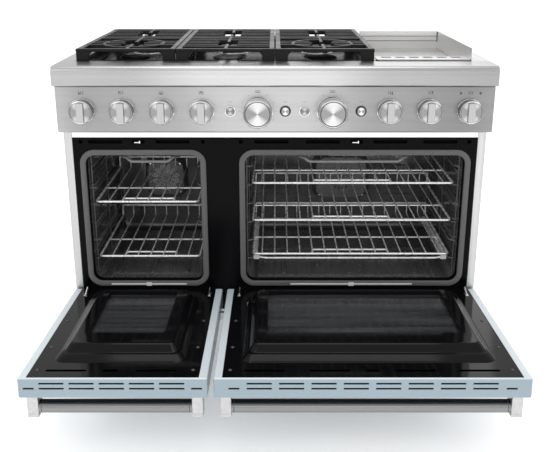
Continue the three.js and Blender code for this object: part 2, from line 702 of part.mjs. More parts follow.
// The stepped plug of the inner panel, as rounded rings; shrink pulls every ring in.
function plugRings({ cavity }, shrink) {
  const base = { x0: cavity.x0 + 5, x1: cavity.x1 - 5, z0: cavity.z0 - pinZ + 5, z1: cavity.z1 - pinZ - 3 };
  const inset = (side, bottom, top, radius) => roundedRing(
    base.x0 + side + shrink, base.x1 - side - shrink,
    base.z0 + bottom + shrink, base.z1 - top - shrink, radius);
  return [
    inset(0, 0, 0, 24), inset(0, 0, 0, 24),
    inset(PLUG_SIDE.low, PLUG_BOTTOM.low, PLUG_TOP.low, 20),
    inset(PLUG_SIDE.low + 4, PLUG_BOTTOM.low + 2, PLUG_TOP.low + 5, 20),
    inset(PLUG_SIDE.high, PLUG_BOTTOM.high, PLUG_TOP.high, 14),
  ];
}

function windowOf({ cavity }) {
  return {
    x0: cavity.x0 + 5 + PLUG_SIDE.high + WINDOW_SIDE,
    x1: cavity.x1 - 5 - PLUG_SIDE.high - WINDOW_SIDE,
    z0: cavity.z0 - pinZ + 5 + PLUG_BOTTOM.high + WINDOW_BOTTOM,
    z1: cavity.z1 - pinZ - 3 - PLUG_TOP.high - WINDOW_TOP,
  };
}

function doorSkin(oven) {
  const { x0, x1 } = oven.door;
  const t = DOOR_SKIN;
  const lip = doorIn - t;
  const shell = cut(
    block(x0, x1, doorOut, doorIn, doorLow, doorHigh),
    block(x0 + t, x1 - t, doorOut + t, lip, doorLow + t, doorHigh - t),
    block(x0 + FLANGE, x1 - FLANGE, lip - 1, doorIn + 1, doorLow + t, doorHigh - t),
  );
  const w = windowOf(oven);
  const windowHole = block(w.x0, w.x1, doorOut - 1, doorOut + t + 1, w.z0, w.z1);
  const { length, short, width, margin } = DOOR_SLOT;
  const pitch = oven.slotPitch;
  const count = Math.floor((x1 - x0 - 2 * margin - length) / pitch) + 1;
  const first = (x0 + x1 - (count - 1) * pitch - length) / 2;
  const slot = (start, size, row) => {
    const y = doorIn - row;
    return block(start, start + size, y - width / 2, y + width / 2, doorHigh - t - 1, doorHigh + 1);
  };
  const slots = [];
  for (let i = 0; i < count; i += 1) {
    for (const row of DOOR_SLOT_ROWS) slots.push(slot(first + i * pitch, length, row));
  }
  slots.push(slot(first - pitch + length - short, short, DOOR_SLOT_ROWS[1]));
  slots.push(slot(first + count * pitch, short, DOOR_SLOT_ROWS[1]));
  return cut(shell, windowHole, slots);
}

function doorInner(oven) {
  const { x0, x1 } = oven.door;
  const t = DOOR_SKIN;
  const levels = (lift) => [-t - 6, 0, PLUG_STEP.low, PLUG_STEP.low, PLUG_STEP.high]
    .map((h, i) => doorIn + h + lift + (i === 3 ? 0.8 : 0));
  const w = windowOf(oven);
  const tunnel = block(w.x0 - t, w.x1 + t, doorIn + PLUG_STEP.high - WINDOW_RECESS,
    doorIn + PLUG_STEP.high - 1, w.z0 - t, w.z1 + t);
  const sheet = block(x0 + FLANGE + GAP, x1 - FLANGE - GAP, doorIn - t, doorIn,
    doorLow + t + GAP, doorHigh - t - GAP);
  const plug = loft(plugRings(oven, 0).slice(1), levels(0).slice(1));
  const hollow = loft(plugRings(oven, t), levels(-t));
  const z = (oven.cavity.z1 - pinZ - 3 + doorHigh) / 2;
  const sheetX = [x0 + FLANGE, x1 - FLANGE, z, doorIn - t - 1, doorIn + 1];
  return cut(join(cut(sheet.add(plug), hollow), tunnel),
    block(w.x0, w.x1, doorIn - 20, doorIn + 60, w.z0, w.z1),
    slotsAt(oven.vents, VENT, ...sheetX), slotsAt([oven.latch], LATCH, ...sheetX));
}

// Two panes and the vented frame that holds them apart, one sealed-looking pack.
function doorGlass(oven) {
  const w = windowOf(oven);
  const margin = 9;
  const y0 = doorOut + DOOR_SKIN + GAP;
  const y1 = doorIn + PLUG_STEP.high - WINDOW_RECESS - GAP;
  const pack = (inset, a, b) => block(w.x0 - margin + inset, w.x1 + margin - inset, a, b,
    w.z0 - margin + inset, w.z1 + margin - inset);
  const vent = block(w.x0 + 20, w.x0 + 60, y0 + PANE + 6, y0 + PANE + 12, w.z1, w.z1 + margin + 1);
  return cut(pack(0, y0, y1), pack(3, y0 + PANE, y1 - PANE), vent);
}

function doorHandle(oven) {
  const { x0, x1 } = oven.door;
  const y = doorOut - HANDLE_AXIS;
  const z1 = doorHigh - POST.top;
  const post = (x) => block(x, x + POST.x, doorOut - HANDLE_REACH, doorOut - GAP, z1 - POST.z, z1);
  const left = x0 + POST.side;
  const right = x1 - POST.side - POST.x;
  return join(post(left), post(right),
    rod([left + 2, y, z1 - POST.z / 2], [right + POST.x - 2, y, z1 - POST.z / 2], HANDLE_BAR, 16));
}

function addDoor(side, oven) {
  const door = new THREE.Group();
  door.position.set(0, PIN_Y, pinZ);
  door.rotation.x = THREE.MathUtils.degToRad(OPEN_ANGLE);
  place(`door_skin_${side}`, doorSkin(oven), blue(), door);
  place(`door_inner_panel_${side}`, doorInner(oven), enamel(), door);
  place(`door_glass_${side}`, doorGlass(oven),
    finish(0x101214, 0.05, 0, { transparent: true, opacity: 0.5 }), door);
  place(`door_handle_${side}`, doorHandle(oven), steel(), door);
  range.add(door);
}

// ---------------------------------------------------------------- assembly
place('side_panel_left', sidePanel(-1), steel());
place('side_panel_right', sidePanel(1), steel());
place('back_panel', backPanel(), zinc());
place('base_pan', basePan(), zinc());
place('front_frame', frontFrame(), enamel());
place('control_panel', controlPanel(), steel());
place('bullnose', bullnose(), steel());
place('cooktop_frame', cooktopFrame(), steel());
place('burner_pan', burnerPan(), enamel());
place('griddle_plate', griddlePlate(), steel());
place('grease_tray', greaseTray(), steel());
place('gas_inlet', join(
  rod([inletX, BODY_DEPTH - 60, inletZ], [inletX, BODY_DEPTH + 14, inletZ], 10.5, 16),
  rod([inletX, BODY_DEPTH - 34, inletZ], [inletX, BODY_DEPTH - 12, inletZ], 16, 6),
), finish(0xb08d4a, 0.4, 0.9));

const legX = frameHalf - 30;
const legs = {
  leg_front_left: [-legX, 70], leg_front_right: [legX, 70],
  leg_rear_left: [-legX, BODY_DEPTH - 55], leg_rear_right: [legX, BODY_DEPTH - 55],
};
for (const [name, [x, y]] of Object.entries(legs)) {
  place(name, turned([
    [0, 0], [24, 0], [24, 8], [16, 12], [16, 60], [20, 62], [20, baseZ - GAP], [0, baseZ - GAP],
  ], [x, y, 0], [0, 0, 1], 12), zinc());
}

for (const control of controls) {
  const solid = control.spec === BUTTON ? pushButton() : knob(control.spec);
  const piece = place(control.name, solid, control.spec === BUTTON ? chrome() : steel());
  piece.position.set(control.x, -PANEL_REACH, controlZ);
}

['left', 'centre', 'right'].forEach((name, i) => {
  const x = grateX0 + (i + 0.5) * GRATE_WIDTH;
  const piece = place(`grate_${name}`, grate(name !== 'centre'), iron());
  piece.position.x = x;
  for (const row of ['front', 'rear']) {
    const head = place(`burner_${name}_${row}`, burner(), iron());
    head.position.set(x, grateBurnerY(row), COOKTOP_Z - PAN_DEPTH);
  }
});

const OVENS = {
  left: { oven: leftOven, handle: 2, cover: [150, 150], fanRadius: 50, dish: 34 },
  right: { oven: rightOven, handle: 3, cover: [200, 172], fanRadius: 58, dish: 34 },
};
for (const [side, { oven, cover, fanRadius, dish }] of Object.entries(OVENS)) {
  const { x0, x1, z0, z1 } = oven.cavity;
  const back = FRAME_THICK + GAP + LINER_DEPTH;
  place(`oven_liner_${side}`, ovenLiner(oven), liner());
  place(`oven_gasket_${side}`, gasket(oven), rubber());
  const shield = place(`fan_cover_${side}`, fanCover(...cover, dish), liner());
  shield.position.set((x0 + x1) / 2, back - GAP, (z0 + z1) / 2);
  const wheel = place(`convection_fan_${side}`, fan(fanRadius), zinc());
  wheel.position.set((x0 + x1) / 2, back - 14, (z0 + z1) / 2);
  addDoor(side, oven);
}

const RACKS = [
  { name: 'rack_left_lower', side: 'left', position: 1 },
  { name: 'rack_left_upper', side: 'left', position: 4 },
  { name: 'rack_right_upper', side: 'right', position: 5 },
  { name: 'rack_right_middle', side: 'right', position: 3 },
  { name: 'rack_right_glide', side: 'right', position: 1, lift: GLIDE_LIFT },
];
for (const { name, side, position, lift = 0 } of RACKS) {
  const { oven, handle } = OVENS[side];
  const piece = place(name, rack(oven, handle), chrome());
  piece.position.z = rackZ(oven, position) + lift;
}
const carrier = place('glide_frame', glideFrame(rightOven), chrome());
carrier.position.z = rackZ(rightOven, 1) + GLIDE_LIFT;

// The origin is the bottom centre of the whole range with its doors open.
const box = new THREE.Box3().setFromObject(range);
range.position.y = -(box.min.y + box.max.y) / 2;

export default range;
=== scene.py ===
# Looks of the freestanding gas range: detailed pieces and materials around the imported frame.
# Shapes are drawn in millimetres in the layout that the frame's own boxes give:
# X = 0 is the middle, Y = 0 the front face of the oven front frame, Z = 0 the floor.
import json
import math

import bmesh
import bpy
from mathutils import Matrix, Vector


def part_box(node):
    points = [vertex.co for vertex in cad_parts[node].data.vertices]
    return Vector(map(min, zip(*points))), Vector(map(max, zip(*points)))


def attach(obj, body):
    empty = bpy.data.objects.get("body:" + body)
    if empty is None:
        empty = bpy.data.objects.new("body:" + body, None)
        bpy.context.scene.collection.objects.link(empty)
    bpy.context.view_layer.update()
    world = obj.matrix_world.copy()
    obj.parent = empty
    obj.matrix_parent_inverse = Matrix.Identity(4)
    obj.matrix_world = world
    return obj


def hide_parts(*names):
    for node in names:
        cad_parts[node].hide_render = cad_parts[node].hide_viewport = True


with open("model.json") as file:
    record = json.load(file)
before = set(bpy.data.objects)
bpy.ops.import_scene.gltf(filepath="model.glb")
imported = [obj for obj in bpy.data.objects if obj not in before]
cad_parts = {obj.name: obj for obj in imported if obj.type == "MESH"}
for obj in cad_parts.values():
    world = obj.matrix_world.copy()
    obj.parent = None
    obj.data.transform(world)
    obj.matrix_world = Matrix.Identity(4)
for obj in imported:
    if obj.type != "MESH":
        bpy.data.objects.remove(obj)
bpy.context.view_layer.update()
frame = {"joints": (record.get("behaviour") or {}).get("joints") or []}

FRAME_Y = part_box("front_frame")[0][1] * 1000
JOINTS = {joint["name"]: joint for joint in frame["joints"]}
ROOT = "range_body"


def layout(point):
    """A point of the row frame in metres, in the layout's millimetres."""
    return Vector((point[0] * 1000, point[1] * 1000 - FRAME_Y, point[2] * 1000))


def node_box(node):
    low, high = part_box(node)
    return layout(low), layout(high)


def node_middle(node):
    return tuple((a + b) / 2 for a, b in zip(*node_box(node)))


# ------------------------------------------------------------------ camera, light and floor
# Fitted to the photo: millimetres, degrees, a focal length in pixels and a lens shift.
CAMERA = {"distance": 2010, "height": 1218, "pitch": 16.24, "focal": 724.2, "shift": 0.12}
IMAGE_WIDTH = 550


def add_camera():
    data = bpy.data.cameras.new("camera")
    data.sensor_width = 36
    data.lens = CAMERA["focal"] / IMAGE_WIDTH * data.sensor_width
    data.shift_y = -CAMERA["shift"]
    data.clip_end = 50
    camera = bpy.data.objects.new("camera", data)
    bpy.context.collection.objects.link(camera)
    camera.location = (0, (FRAME_Y - CAMERA["distance"]) / 1000, CAMERA["height"] / 1000)
    camera.rotation_euler = (math.radians(90 - CAMERA["pitch"]), 0, 0)
    bpy.context.scene.camera = camera


def add_area(name, place, aim, size, power):
    data = bpy.data.lights.new(name, "AREA")
    data.shape = "RECTANGLE"
    data.size, data.size_y = size
    data.energy = power
    light = bpy.data.objects.new(name, data)
    bpy.context.collection.objects.link(light)
    light.location = place
    aim_at = Vector(aim) - Vector(place)
    light.rotation_euler = aim_at.to_track_quat("-Z", "Y").to_euler()


AREA_LIGHTS = (  # name, place and height of aim in metres, size in metres, watts
    ("key_left", (-2.6, -2.6, 2.6), 0.5, (1.2, 1.8), 24),
    ("key_right", (2.7, -2.5, 2.4), 0.5, (1.2, 1.8), 16),
    ("front_fill", (0, -3.6, 1.0), 0.45, (3.0, 0.8), 7),
    ("top", (0, 0.2, 3.4), 0.9, (2.2, 1.4), 20),
    ("back", (0.4, 3.2, 2.2), 0.6, (2.6, 1.6), 14),
)


def add_studio():
    world = bpy.data.worlds.new("studio")
    bpy.context.scene.world = world
    world.use_nodes = True
    tree = world.node_tree
    background = tree.nodes["Background"]
    background.inputs["Strength"].default_value = 1.0
    coords = tree.nodes.new("ShaderNodeTexCoord")
    split = tree.nodes.new("ShaderNodeSeparateXYZ")
    tree.links.new(coords.outputs["Generated"], split.inputs[0])
    ramp = tree.nodes.new("ShaderNodeValToRGB")
    for stop, position, level in zip(ramp.color_ramp.elements, (0.0, 0.55), (0.86, 1.0)):
        stop.position = position
        stop.color = (level, level, level, 1)
    tree.links.new(split.outputs["Z"], ramp.inputs[0])
    tree.links.new(ramp.outputs[0], background.inputs["Color"])
    for name, place, aim_height, size, power in AREA_LIGHTS:
        add_area(name, place, (0, 0, aim_height), size, power)
    scene = bpy.context.scene
    scene.view_settings.view_transform = "Standard"
    scene.view_settings.look = "None"


# ------------------------------------------------------------------ material nodes
def grey(level):
    return (level, level, level)


def tint(colour, factor):
    return tuple(c * factor for c in colour)


class Paint:
    """A material under construction, with short calls for the nodes that it needs."""

    def __init__(self, name, colour, rough, metal=0.0, **sockets):
        self.material = bpy.data.materials.new(name)
        self.material.use_nodes = True
        self.tree = self.material.node_tree
        self.shader = self.tree.nodes["Principled BSDF"]
        self.feed(self.shader, {"Base Color": (*colour, 1), "Roughness": rough, "Metallic": metal})
        self.feed(self.shader, {key.replace("_", " "): value for key, value in sockets.items()})

    def feed(self, node, inputs):
        """Sets a node's inputs, and links those whose value is another node's output."""
        for key, value in inputs.items():
            if hasattr(value, "links"):
                self.tree.links.new(value, node.inputs[key])
            else:
                node.inputs[key].default_value = value

    def node(self, kind, inputs, output=0, **settings):
        """A new node with its inputs set; returns one of its outputs."""
        made = self.tree.nodes.new("ShaderNode" + kind)
        for key, value in settings.items():
            setattr(made, key, value)
        self.feed(made, inputs)
        return made.outputs[output]

    def coords(self, scale=(1, 1, 1)):
        place = self.node("TexCoord", {}, "Object")
        return self.node("Mapping", {"Vector": place, "Scale": scale})

    def axis(self, vector, name):
        return self.node("SeparateXYZ", {0: vector}, name)

    def facing_up(self):
        """How far a face of the piece, as drawn, looks upward."""
        return self.axis(self.node("TexCoord", {}, "Normal"), "Z")

    def noise(self, scale, detail=3, stretch=(1, 1, 1)):
        inputs = {"Scale": scale, "Detail": detail, "Vector": self.coords(stretch)}
        return self.node("TexNoise", inputs, "Fac")

    def voronoi(self, scale, output="Distance"):
        return self.node("TexVoronoi", {"Scale": scale, "Vector": self.coords()}, output)

    def wave(self, scale, distortion, stretch=(1, 1, 1), **settings):
        inputs = {"Scale": scale, "Distortion": distortion, "Vector": self.coords(stretch)}
        return self.node("TexWave", inputs, "Fac", **settings)

    def spread(self, value, low, high, start=0.0, end=1.0):
        """Maps start..end to low..high."""
        inputs = {"Value": value, "From Min": start, "From Max": end, "To Min": low, "To Max": high}
        return self.node("MapRange", inputs, "Result")

    def blend(self, value, first, second, mode="MIX"):
        """Mixes two colours, each a triple or an output."""
        first, second = (c if hasattr(c, "links") else (*c, 1) for c in (first, second))
        inputs = {0: value, 6: first, 7: second}
        return self.node("Mix", inputs, 2, data_type="RGBA", blend_type=mode)

    def times(self, first, second):
        return self.blend(1, first, second, "MULTIPLY")

    def rough(self, value, low, high, start=0.25, end=0.75):
        self.feed(self.shader, {"Roughness": self.spread(value, low, high, start, end)})

    def colour(self, output):
        self.feed(self.shader, {"Base Color": output})

    def bump(self, value, strength, distance):
        """Adds the last layer, fine relief, and returns the finished material."""
        inputs = {"Height": value, "Strength": strength, "Distance": distance}
        self.feed(self.shader, {"Normal": self.node("Bump", inputs, "Normal")})
        return self.material


STRETCH = {"X": (1, 260, 260), "Y": (260, 1, 260), "Z": (260, 260, 1)}
REFLECTION_REACH = 650              # the painted-reflection tables give places in millimetres from the middle, out to here


def brushed(name, colour, rough, grain="X", contrast=0.06, drift=(), below=None):
    """Brushed metal: long fine lines along one axis, broader streaks, where drift is given a painted
    reflection: brightness drifting slowly along X,
    and where below is given painted shade: a darker upper side, as where it sits under something."""
    paint = Paint(name, colour, rough, 1.0, Anisotropic=0.35)
    fine = paint.noise(4.0, 3, STRETCH[grain])
    broad = paint.spread(paint.noise(0.35, 2, STRETCH[grain]), 0, 1, 0.35, 0.65)
    tone = paint.blend(broad, tint(colour, 1 - contrast), tint(colour, 1 + contrast))
    # Painted reflection: a ramp of brightness along X multiplies the colour.
    if drift:
        reach = REFLECTION_REACH / 1000
        across = paint.spread(paint.axis(paint.coords(), "X"), 0, 1, -reach, reach)
        shades = paint.node("ValToRGB", {0: across})
        ramp = shades.node.color_ramp
        ramp.interpolation = "EASE"
        while len(ramp.elements) < len(drift):
            ramp.elements.new(0.5)
        for stop, (x, level) in zip(ramp.elements, drift):
            stop.position = (x + REFLECTION_REACH) / (2 * REFLECTION_REACH)
            stop.color = (*grey(level), 1)
        tone = paint.times(tone, shades)
    # Painted shade: faces that look up are darkened, down to below times the colour.
    if below is not None:
        shade = paint.spread(paint.facing_up(), 1, below, 0.45, 0.92)
        tone = paint.times(tone, paint.blend(shade, grey(0), grey(1)))
    paint.colour(tone)
    paint.rough(fine, rough - 0.07, rough + 0.09)
    return paint.bump(fine, 0.12, 0.0003)


def spun(name, colour, rough):
    """Turned metal: rings about the piece's own Y axis, and a painted fan-shaped sheen: paler above and
    below the axis, darker at its sides.
    """
    paint = Paint(name, colour, rough, 1.0, Anisotropic=0.75)
    tangent = paint.node("Tangent", {}, direction_type="RADIAL", axis="Y")
    paint.feed(paint.shader, {"Tangent": tangent})
    rings = paint.wave(260, 1.5, wave_type="RINGS", rings_direction="Y")
    # Painted sheen: the colour falls to 0.42 of itself at the sides of the axis.
    flattened = paint.node("VectorMath", {0: paint.coords((1, 0, 1))}, operation="NORMALIZE")
    rise = paint.node("Math", {0: paint.axis(flattened, "Z")}, operation="ABSOLUTE")
    fan = paint.blend(paint.spread(rise, 0, 1, 0.45, 0.97), tint(colour, 0.42), colour)
    paint.colour(paint.times(fan, paint.blend(rings, grey(0.86), grey(1))))
    paint.rough(rings, rough - 0.04, rough + 0.06)
    return paint.bump(rings, 0.08, 0.0002)


def porcelain(name, colour, rough, speck=None, shine=0.3):
    """Glossy vitreous enamel with a faint orange-peel surface, and specks where given."""
    paint = Paint(name, colour, rough, Specular_IOR_Level=shine)
    cloud = paint.noise(6, 3)
    paint.rough(cloud, rough * 0.8, rough * 1.35)
    if speck:
        share = paint.spread(paint.voronoi(620), 1, 0, 0.16, 0.26)
        clouded = paint.blend(paint.spread(cloud, 0, 1, 0.3, 0.7), colour, tint(colour, 1.35))
        paint.colour(paint.blend(share, clouded, speck))
    else:
        paint.colour(paint.blend(paint.spread(cloud, 0, 0.6, 0.35, 0.7), colour, tint(colour, 1.6)))
    return paint.bump(paint.noise(90, 2), 0.05, 0.0005)


def painted(name, colour, rough, top):
    """Smooth baked paint: slight drift of tone, fine peel, and painted light: a paler tone on the upper
    faces.
    """
    paint = Paint(name, colour, rough, Coat_Weight=0.25, Coat_Roughness=0.12)
    drift = paint.spread(paint.noise(3.5, 3), 0, 1, 0.3, 0.7)
    # Painted light: faces that look up take the paler top colour.
    base = paint.blend(paint.spread(paint.facing_up(), 0, 1, 0.2, 0.8), colour, top)
    paint.colour(paint.times(base, paint.blend(drift, grey(0.95), grey(1))))
    paint.rough(paint.noise(25, 3), rough - 0.05, rough + 0.07)
    return paint.bump(paint.noise(240, 2), 0.05, 0.0004)


def cast(name, colour, rough, top):
    """Sand-cast iron under matte enamel: grainy, with painted light: paler on the upper faces, unevenly by
    a wear noise that also sets the roughness.
    """
    paint = Paint(name, colour, rough, Specular_IOR_Level=0.22)
    wear = paint.noise(14, 4)
    upper = paint.blend(paint.spread(wear, 0, 1, 0.35, 0.75), top, tint(top, 1.5))
    # Painted light: faces that look up take the paler top colour.
    paint.colour(paint.blend(paint.spread(paint.facing_up(), 0, 1, 0.5, 0.95), colour, upper))
    paint.rough(wear, rough - 0.12, rough + 0.1)
    return paint.bump(paint.noise(420, 4), 0.45, 0.0008)


def chromed(name, colour, rough, metal=1.0):
    """Bright plating with faint smears."""
    paint = Paint(name, colour, rough, metal)
    smear = paint.noise(40, 3)
    paint.rough(smear, rough * 0.6, rough * 1.8)
    paint.colour(paint.blend(smear, tint(colour, 0.9), colour))
    return paint.bump(paint.noise(300, 2), 0.04, 0.0003)


def woven(name, colour, rough):
    """Braided glass-fibre seal."""
    paint = Paint(name, colour, rough)
    strands = [paint.wave(170, 1.2, (way, 1, 1), bands_direction="DIAGONAL") for way in (1, -1)]
    braid = paint.node("Math", dict(enumerate(strands)), operation="MAXIMUM")
    paint.colour(paint.blend(braid, tint(colour, 0.5), tint(colour, 1.35)))
    paint.rough(paint.noise(120, 3), rough - 0.1, rough + 0.08)
    return paint.bump(braid, 0.6, 0.0012)


def galvanised(name, colour, rough):
    """Zinc-coated sheet with its crystal spangle."""
    paint = Paint(name, colour, rough, 0.9)
    spangle = paint.node("RGBToBW", {0: paint.voronoi(55, "Color")})
    paint.colour(paint.blend(spangle, tint(colour, 0.82), tint(colour, 1.12)))
    paint.rough(spangle, rough - 0.08, rough + 0.1, 0, 1)
    return paint.bump(spangle, 0.06, 0.0004)


def tinted_glass(name):
    """Dark coated oven glass, nearly opaque, with faint wipe marks."""
    paint = Paint(name, (0.012, 0.013, 0.015), 0.05, Specular_IOR_Level=0.7, IOR=1.5)
    marks = paint.noise(5, 3, (0.5, 9, 1))
    paint.rough(marks, 0.10, 0.20)
    clear, wiped = (0.020, 0.021, 0.023), (0.046, 0.047, 0.051)
    paint.colour(paint.blend(paint.spread(marks, 0, 1, 0.35, 0.65), clear, wiped))
    return paint.material


def seared(name, colour, rough):
    """Griddle steel: ground lines and broad, cloudy seasoning marks."""
    paint = Paint(name, colour, rough, 1.0, Anisotropic=0.3)
    fine = paint.noise(4.0, 3, STRETCH["Y"])
    seasoned = tuple(c * share for c, share in zip(colour, (0.86, 0.83, 0.79)))
    paint.colour(paint.blend(paint.spread(paint.noise(7, 5), 0, 1, 0.4, 0.7), colour, seasoned))
    paint.rough(fine, rough - 0.06, rough + 0.1)
    return paint.bump(fine, 0.15, 0.0003)


def plastic(name, colour, rough, shine=0.5):
    """A plain, slightly uneven coating."""
    paint = Paint(name, colour, rough, Specular_IOR_Level=shine)
    paint.rough(paint.noise(60, 3), rough - 0.08, rough + 0.1)
    return paint.bump(paint.noise(500, 3), 0.12, 0.0003)


def floor_paint():
    """Pale floor with a slight glow, which keeps the shadow light."""
    paint = Paint("floor_paint", (0.93, 0.93, 0.925), 0.6,
                  Emission_Color=(1, 1, 1, 1), Emission_Strength=0.28)
    paint.colour(paint.blend(paint.noise(1.3, 3), (0.92, 0.92, 0.915), (0.945, 0.945, 0.94)))
    return paint.material


# Painted reflection: brightness along X, which stands for the room that the long flat pieces reflect.
PANEL_PAINTED_REFLECTION = ((-640, 0.66), (-520, 0.47), (-330, 0.50), (-90, 0.71),
               (60, 0.71), (300, 0.45), (520, 0.37), (640, 0.45))
NOSE_PAINTED_REFLECTION = ((-640, 0.64), (-420, 0.59), (-160, 0.83), (100, 0.84), (330, 0.58), (640, 0.52))
POST_PAINTED_REFLECTION = ((-640, 0.80), (640, 0.84))
ENAMEL_BLACK = (0.003, 0.003, 0.0035)
MATERIALS = {
    "steel": brushed("stainless_brushed", grey(0.62), 0.30, "X"),
    # panel, nose and steel_upright carry a painted reflection: brightness drifting along X.
    "panel": brushed("stainless_panel", grey(0.66), 0.32, "X", 0.03, drift=PANEL_PAINTED_REFLECTION),
    "nose": brushed("stainless_nose", grey(0.68), 0.30, "X", 0.04, drift=NOSE_PAINTED_REFLECTION),
    "steel_upright": brushed("stainless_upright", grey(0.66), 0.32, "Z", drift=POST_PAINTED_REFLECTION),
    "strip": brushed("stainless_strip", grey(0.86), 0.30, "X", 0.03),
    "deck": brushed("stainless_deck", grey(0.48), 0.34, "Y"),
    "steel_deep": brushed("stainless_deep", grey(0.40), 0.34, "Y", 0.04),
    # handle: a darker copy of the brushed steel, with painted shade on its upper faces.
    "handle": brushed("handle_satin_painted_shade", grey(0.25), 0.24, "X", 0.06, below=0.16),
    "handle_grip": brushed("grip_satin", grey(0.46), 0.30, "Z", 0.05),
    "post": brushed("post_satin", grey(0.52), 0.36, "Y", 0.05),
    # spun_small and spun carry a painted sheen.
    "spun_small": spun("spun_button", grey(0.50), 0.28),
    "spun": spun("spun_steel", grey(0.74), 0.24),
    "chrome": chromed("polished_chrome", (0.82, 0.82, 0.83), 0.10),
    "wire": chromed("rack_wire", grey(0.97), 0.24, 0.45),
    "porcelain": porcelain("black_porcelain", ENAMEL_BLACK, 0.08, shine=0.13),
    "front": porcelain("frame_porcelain", ENAMEL_BLACK, 0.16, shine=0.05),
    "pan": porcelain("pan_enamel", ENAMEL_BLACK, 0.22, shine=0.16),
    "oven": porcelain("oven_enamel", (0.046, 0.046, 0.048), 0.10, (0.32, 0.32, 0.33), 0.8),
    "gasket": woven("woven_seal", grey(0.10), 0.75),
    # iron and cap: their top colours are painted light on the upper faces.
    "iron": cast("cast_iron_matte", ENAMEL_BLACK, 0.42, (0.022, 0.022, 0.023)),
    "cap": cast("burner_cap_enamel", (0.006, 0.006, 0.0065), 0.42, (0.018, 0.018, 0.019)),
    "port": chromed("burner_head_alloy", (0.74, 0.73, 0.71), 0.32),
    # blue: its top colour is painted light on the upper faces.
    "blue": painted("misty_blue", (0.275, 0.345, 0.395), 0.32, (0.60, 0.67, 0.70)),
    "zinc": galvanised("galvanised_sheet", (0.36, 0.37, 0.38), 0.46),
    "glass": tinted_glass("oven_glass"),
    "griddle": seared("griddle_ground", (0.42, 0.415, 0.405), 0.40),
    # dark: black for the door's pane frame, and painted shade behind holes and under slots.
    "dark": plastic("black_and_painted_shade", grey(0.003), 0.8, 0.08),
    # ink: print on the panel, and painted shade in the griddle's gutter and in the grease tray.
    "ink": plastic("ink_and_painted_shade", (0.035, 0.035, 0.04), 0.5),
    "brass": chromed("inlet_brass", (0.70, 0.52, 0.25), 0.26),
    # element: black screws, and painted shade in the knobs' necks and grooves, ringed buttons' bezels,
    # handle collars and the splash wall's lines.
    "element": plastic("blackened_steel_and_painted_shade", (0.045, 0.045, 0.05), 0.42),
    "sheath": plastic("element_sheath", (0.30, 0.30, 0.31), 0.38),
    "cover": porcelain("cover_enamel", (0.085, 0.085, 0.09), 0.26, (0.42, 0.42, 0.43), 0.6),
    "lamp": plastic("lamp_lens", (0.75, 0.75, 0.72), 0.15),
}


# ------------------------------------------------------------------ mesh tools
def emit(name, source, paint, body=ROOT, slot=None, replaces=(), matrix=Matrix(), sharp=32,
         thickness=0.0, centre=None):
    """Makes one finished piece from a bmesh or mesh drawn in layout millimetres."""
    if isinstance(source, bmesh.types.BMesh):
        bmesh.ops.remove_doubles(source, verts=source.verts, dist=0.001)
        bmesh.ops.recalc_face_normals(source, faces=source.faces)
        mesh = bpy.data.meshes.new(name)
        source.to_mesh(mesh)
        source.free()
    else:
        mesh = source
    mesh.transform(matrix)
    mesh.transform(Matrix.Translation((0, FRAME_Y / 1000, 0)) @ Matrix.Scale(0.001, 4))
    piece = bpy.data.objects.new(name, mesh)
    bpy.context.collection.objects.link(piece)
    if centre is not None:
        origin = Vector((centre[0], centre[1] + FRAME_Y, centre[2])) / 1000
        mesh.transform(Matrix.Translation(-origin))
        piece.location = origin
    mesh.materials.clear()
    mesh.materials.append(MATERIALS[paint])
    for polygon in mesh.polygons:
        polygon.use_smooth = True
    mesh.set_sharp_from_angle(angle=math.radians(sharp))
    if thickness:
        shell = piece.modifiers.new("thickness", "SOLIDIFY")
        shell.thickness = thickness / 1000
        shell.offset = -1
    shading = piece.modifiers.new("shading", "WEIGHTED_NORMAL")
    shading.keep_sharp = True
    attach(piece, body)
    if replaces:
        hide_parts(*replaces)
    return piece


def slab(bm, low, high, bevel=0.0, segments=2):
    """A block between two corners, with rounded edges."""
    low, high = Vector(low), Vector(high)
    made = bmesh.ops.create_cube(bm, size=1)
    size = high - low
    bmesh.ops.scale(bm, vec=size, verts=made["verts"])
    bmesh.ops.translate(bm, vec=(low + high) / 2, verts=made["verts"])
    if bevel:
        limit = min(bevel, min(size) * 0.49)
        edges = {edge for vert in made["verts"] for edge in vert.link_edges}
        bmesh.ops.bevel(bm, geom=list(edges), offset=limit, segments=segments, profile=0.5,
                        affect="EDGES", clamp_overlap=True)
    return bm


def slabs(*pairs, bevel=0.0, segments=2):
    bm = bmesh.new()
    for low, high in pairs:
        slab(bm, low, high, bevel, segments)
    return bm


def ring_faces(bm, rings, closed=True, cap_start=True, cap_end=True):
    """Quads between rings of points, with end caps; returns the rings' vertices."""
    made = [[bm.verts.new(point) for point in ring] for ring in rings]
    count = len(made[0])
    last = count if closed else count - 1
    for first, second in zip(made, made[1:]):
        for i in range(last):
            j = (i + 1) % count
            bm.faces.new((first[i], first[j], second[j], second[i]))
    if cap_start:
        bm.faces.new(list(reversed(made[0])))
    if cap_end:
        bm.faces.new(made[-1])
    return made


def lathe(bm, profile, centre, axis="Y", segments=48, flip=1):
    """Turns [radius, height] points about an axis; flip -1 points the heights the other way."""
    rings = []
    for radius, height in profile:
        ring = []
        for i in range(segments):
            angle = 2 * math.pi * i / segments
            a, b = max(radius, 0.02) * math.cos(angle), max(radius, 0.02) * math.sin(angle)
            along = height * flip
            offset = {"X": (along, a, b), "Y": (a, along, b), "Z": (a, b, along)}[axis]
            ring.append(Vector(centre) + Vector(offset))
        rings.append(ring)
    ring_faces(bm, rings)
    return bm


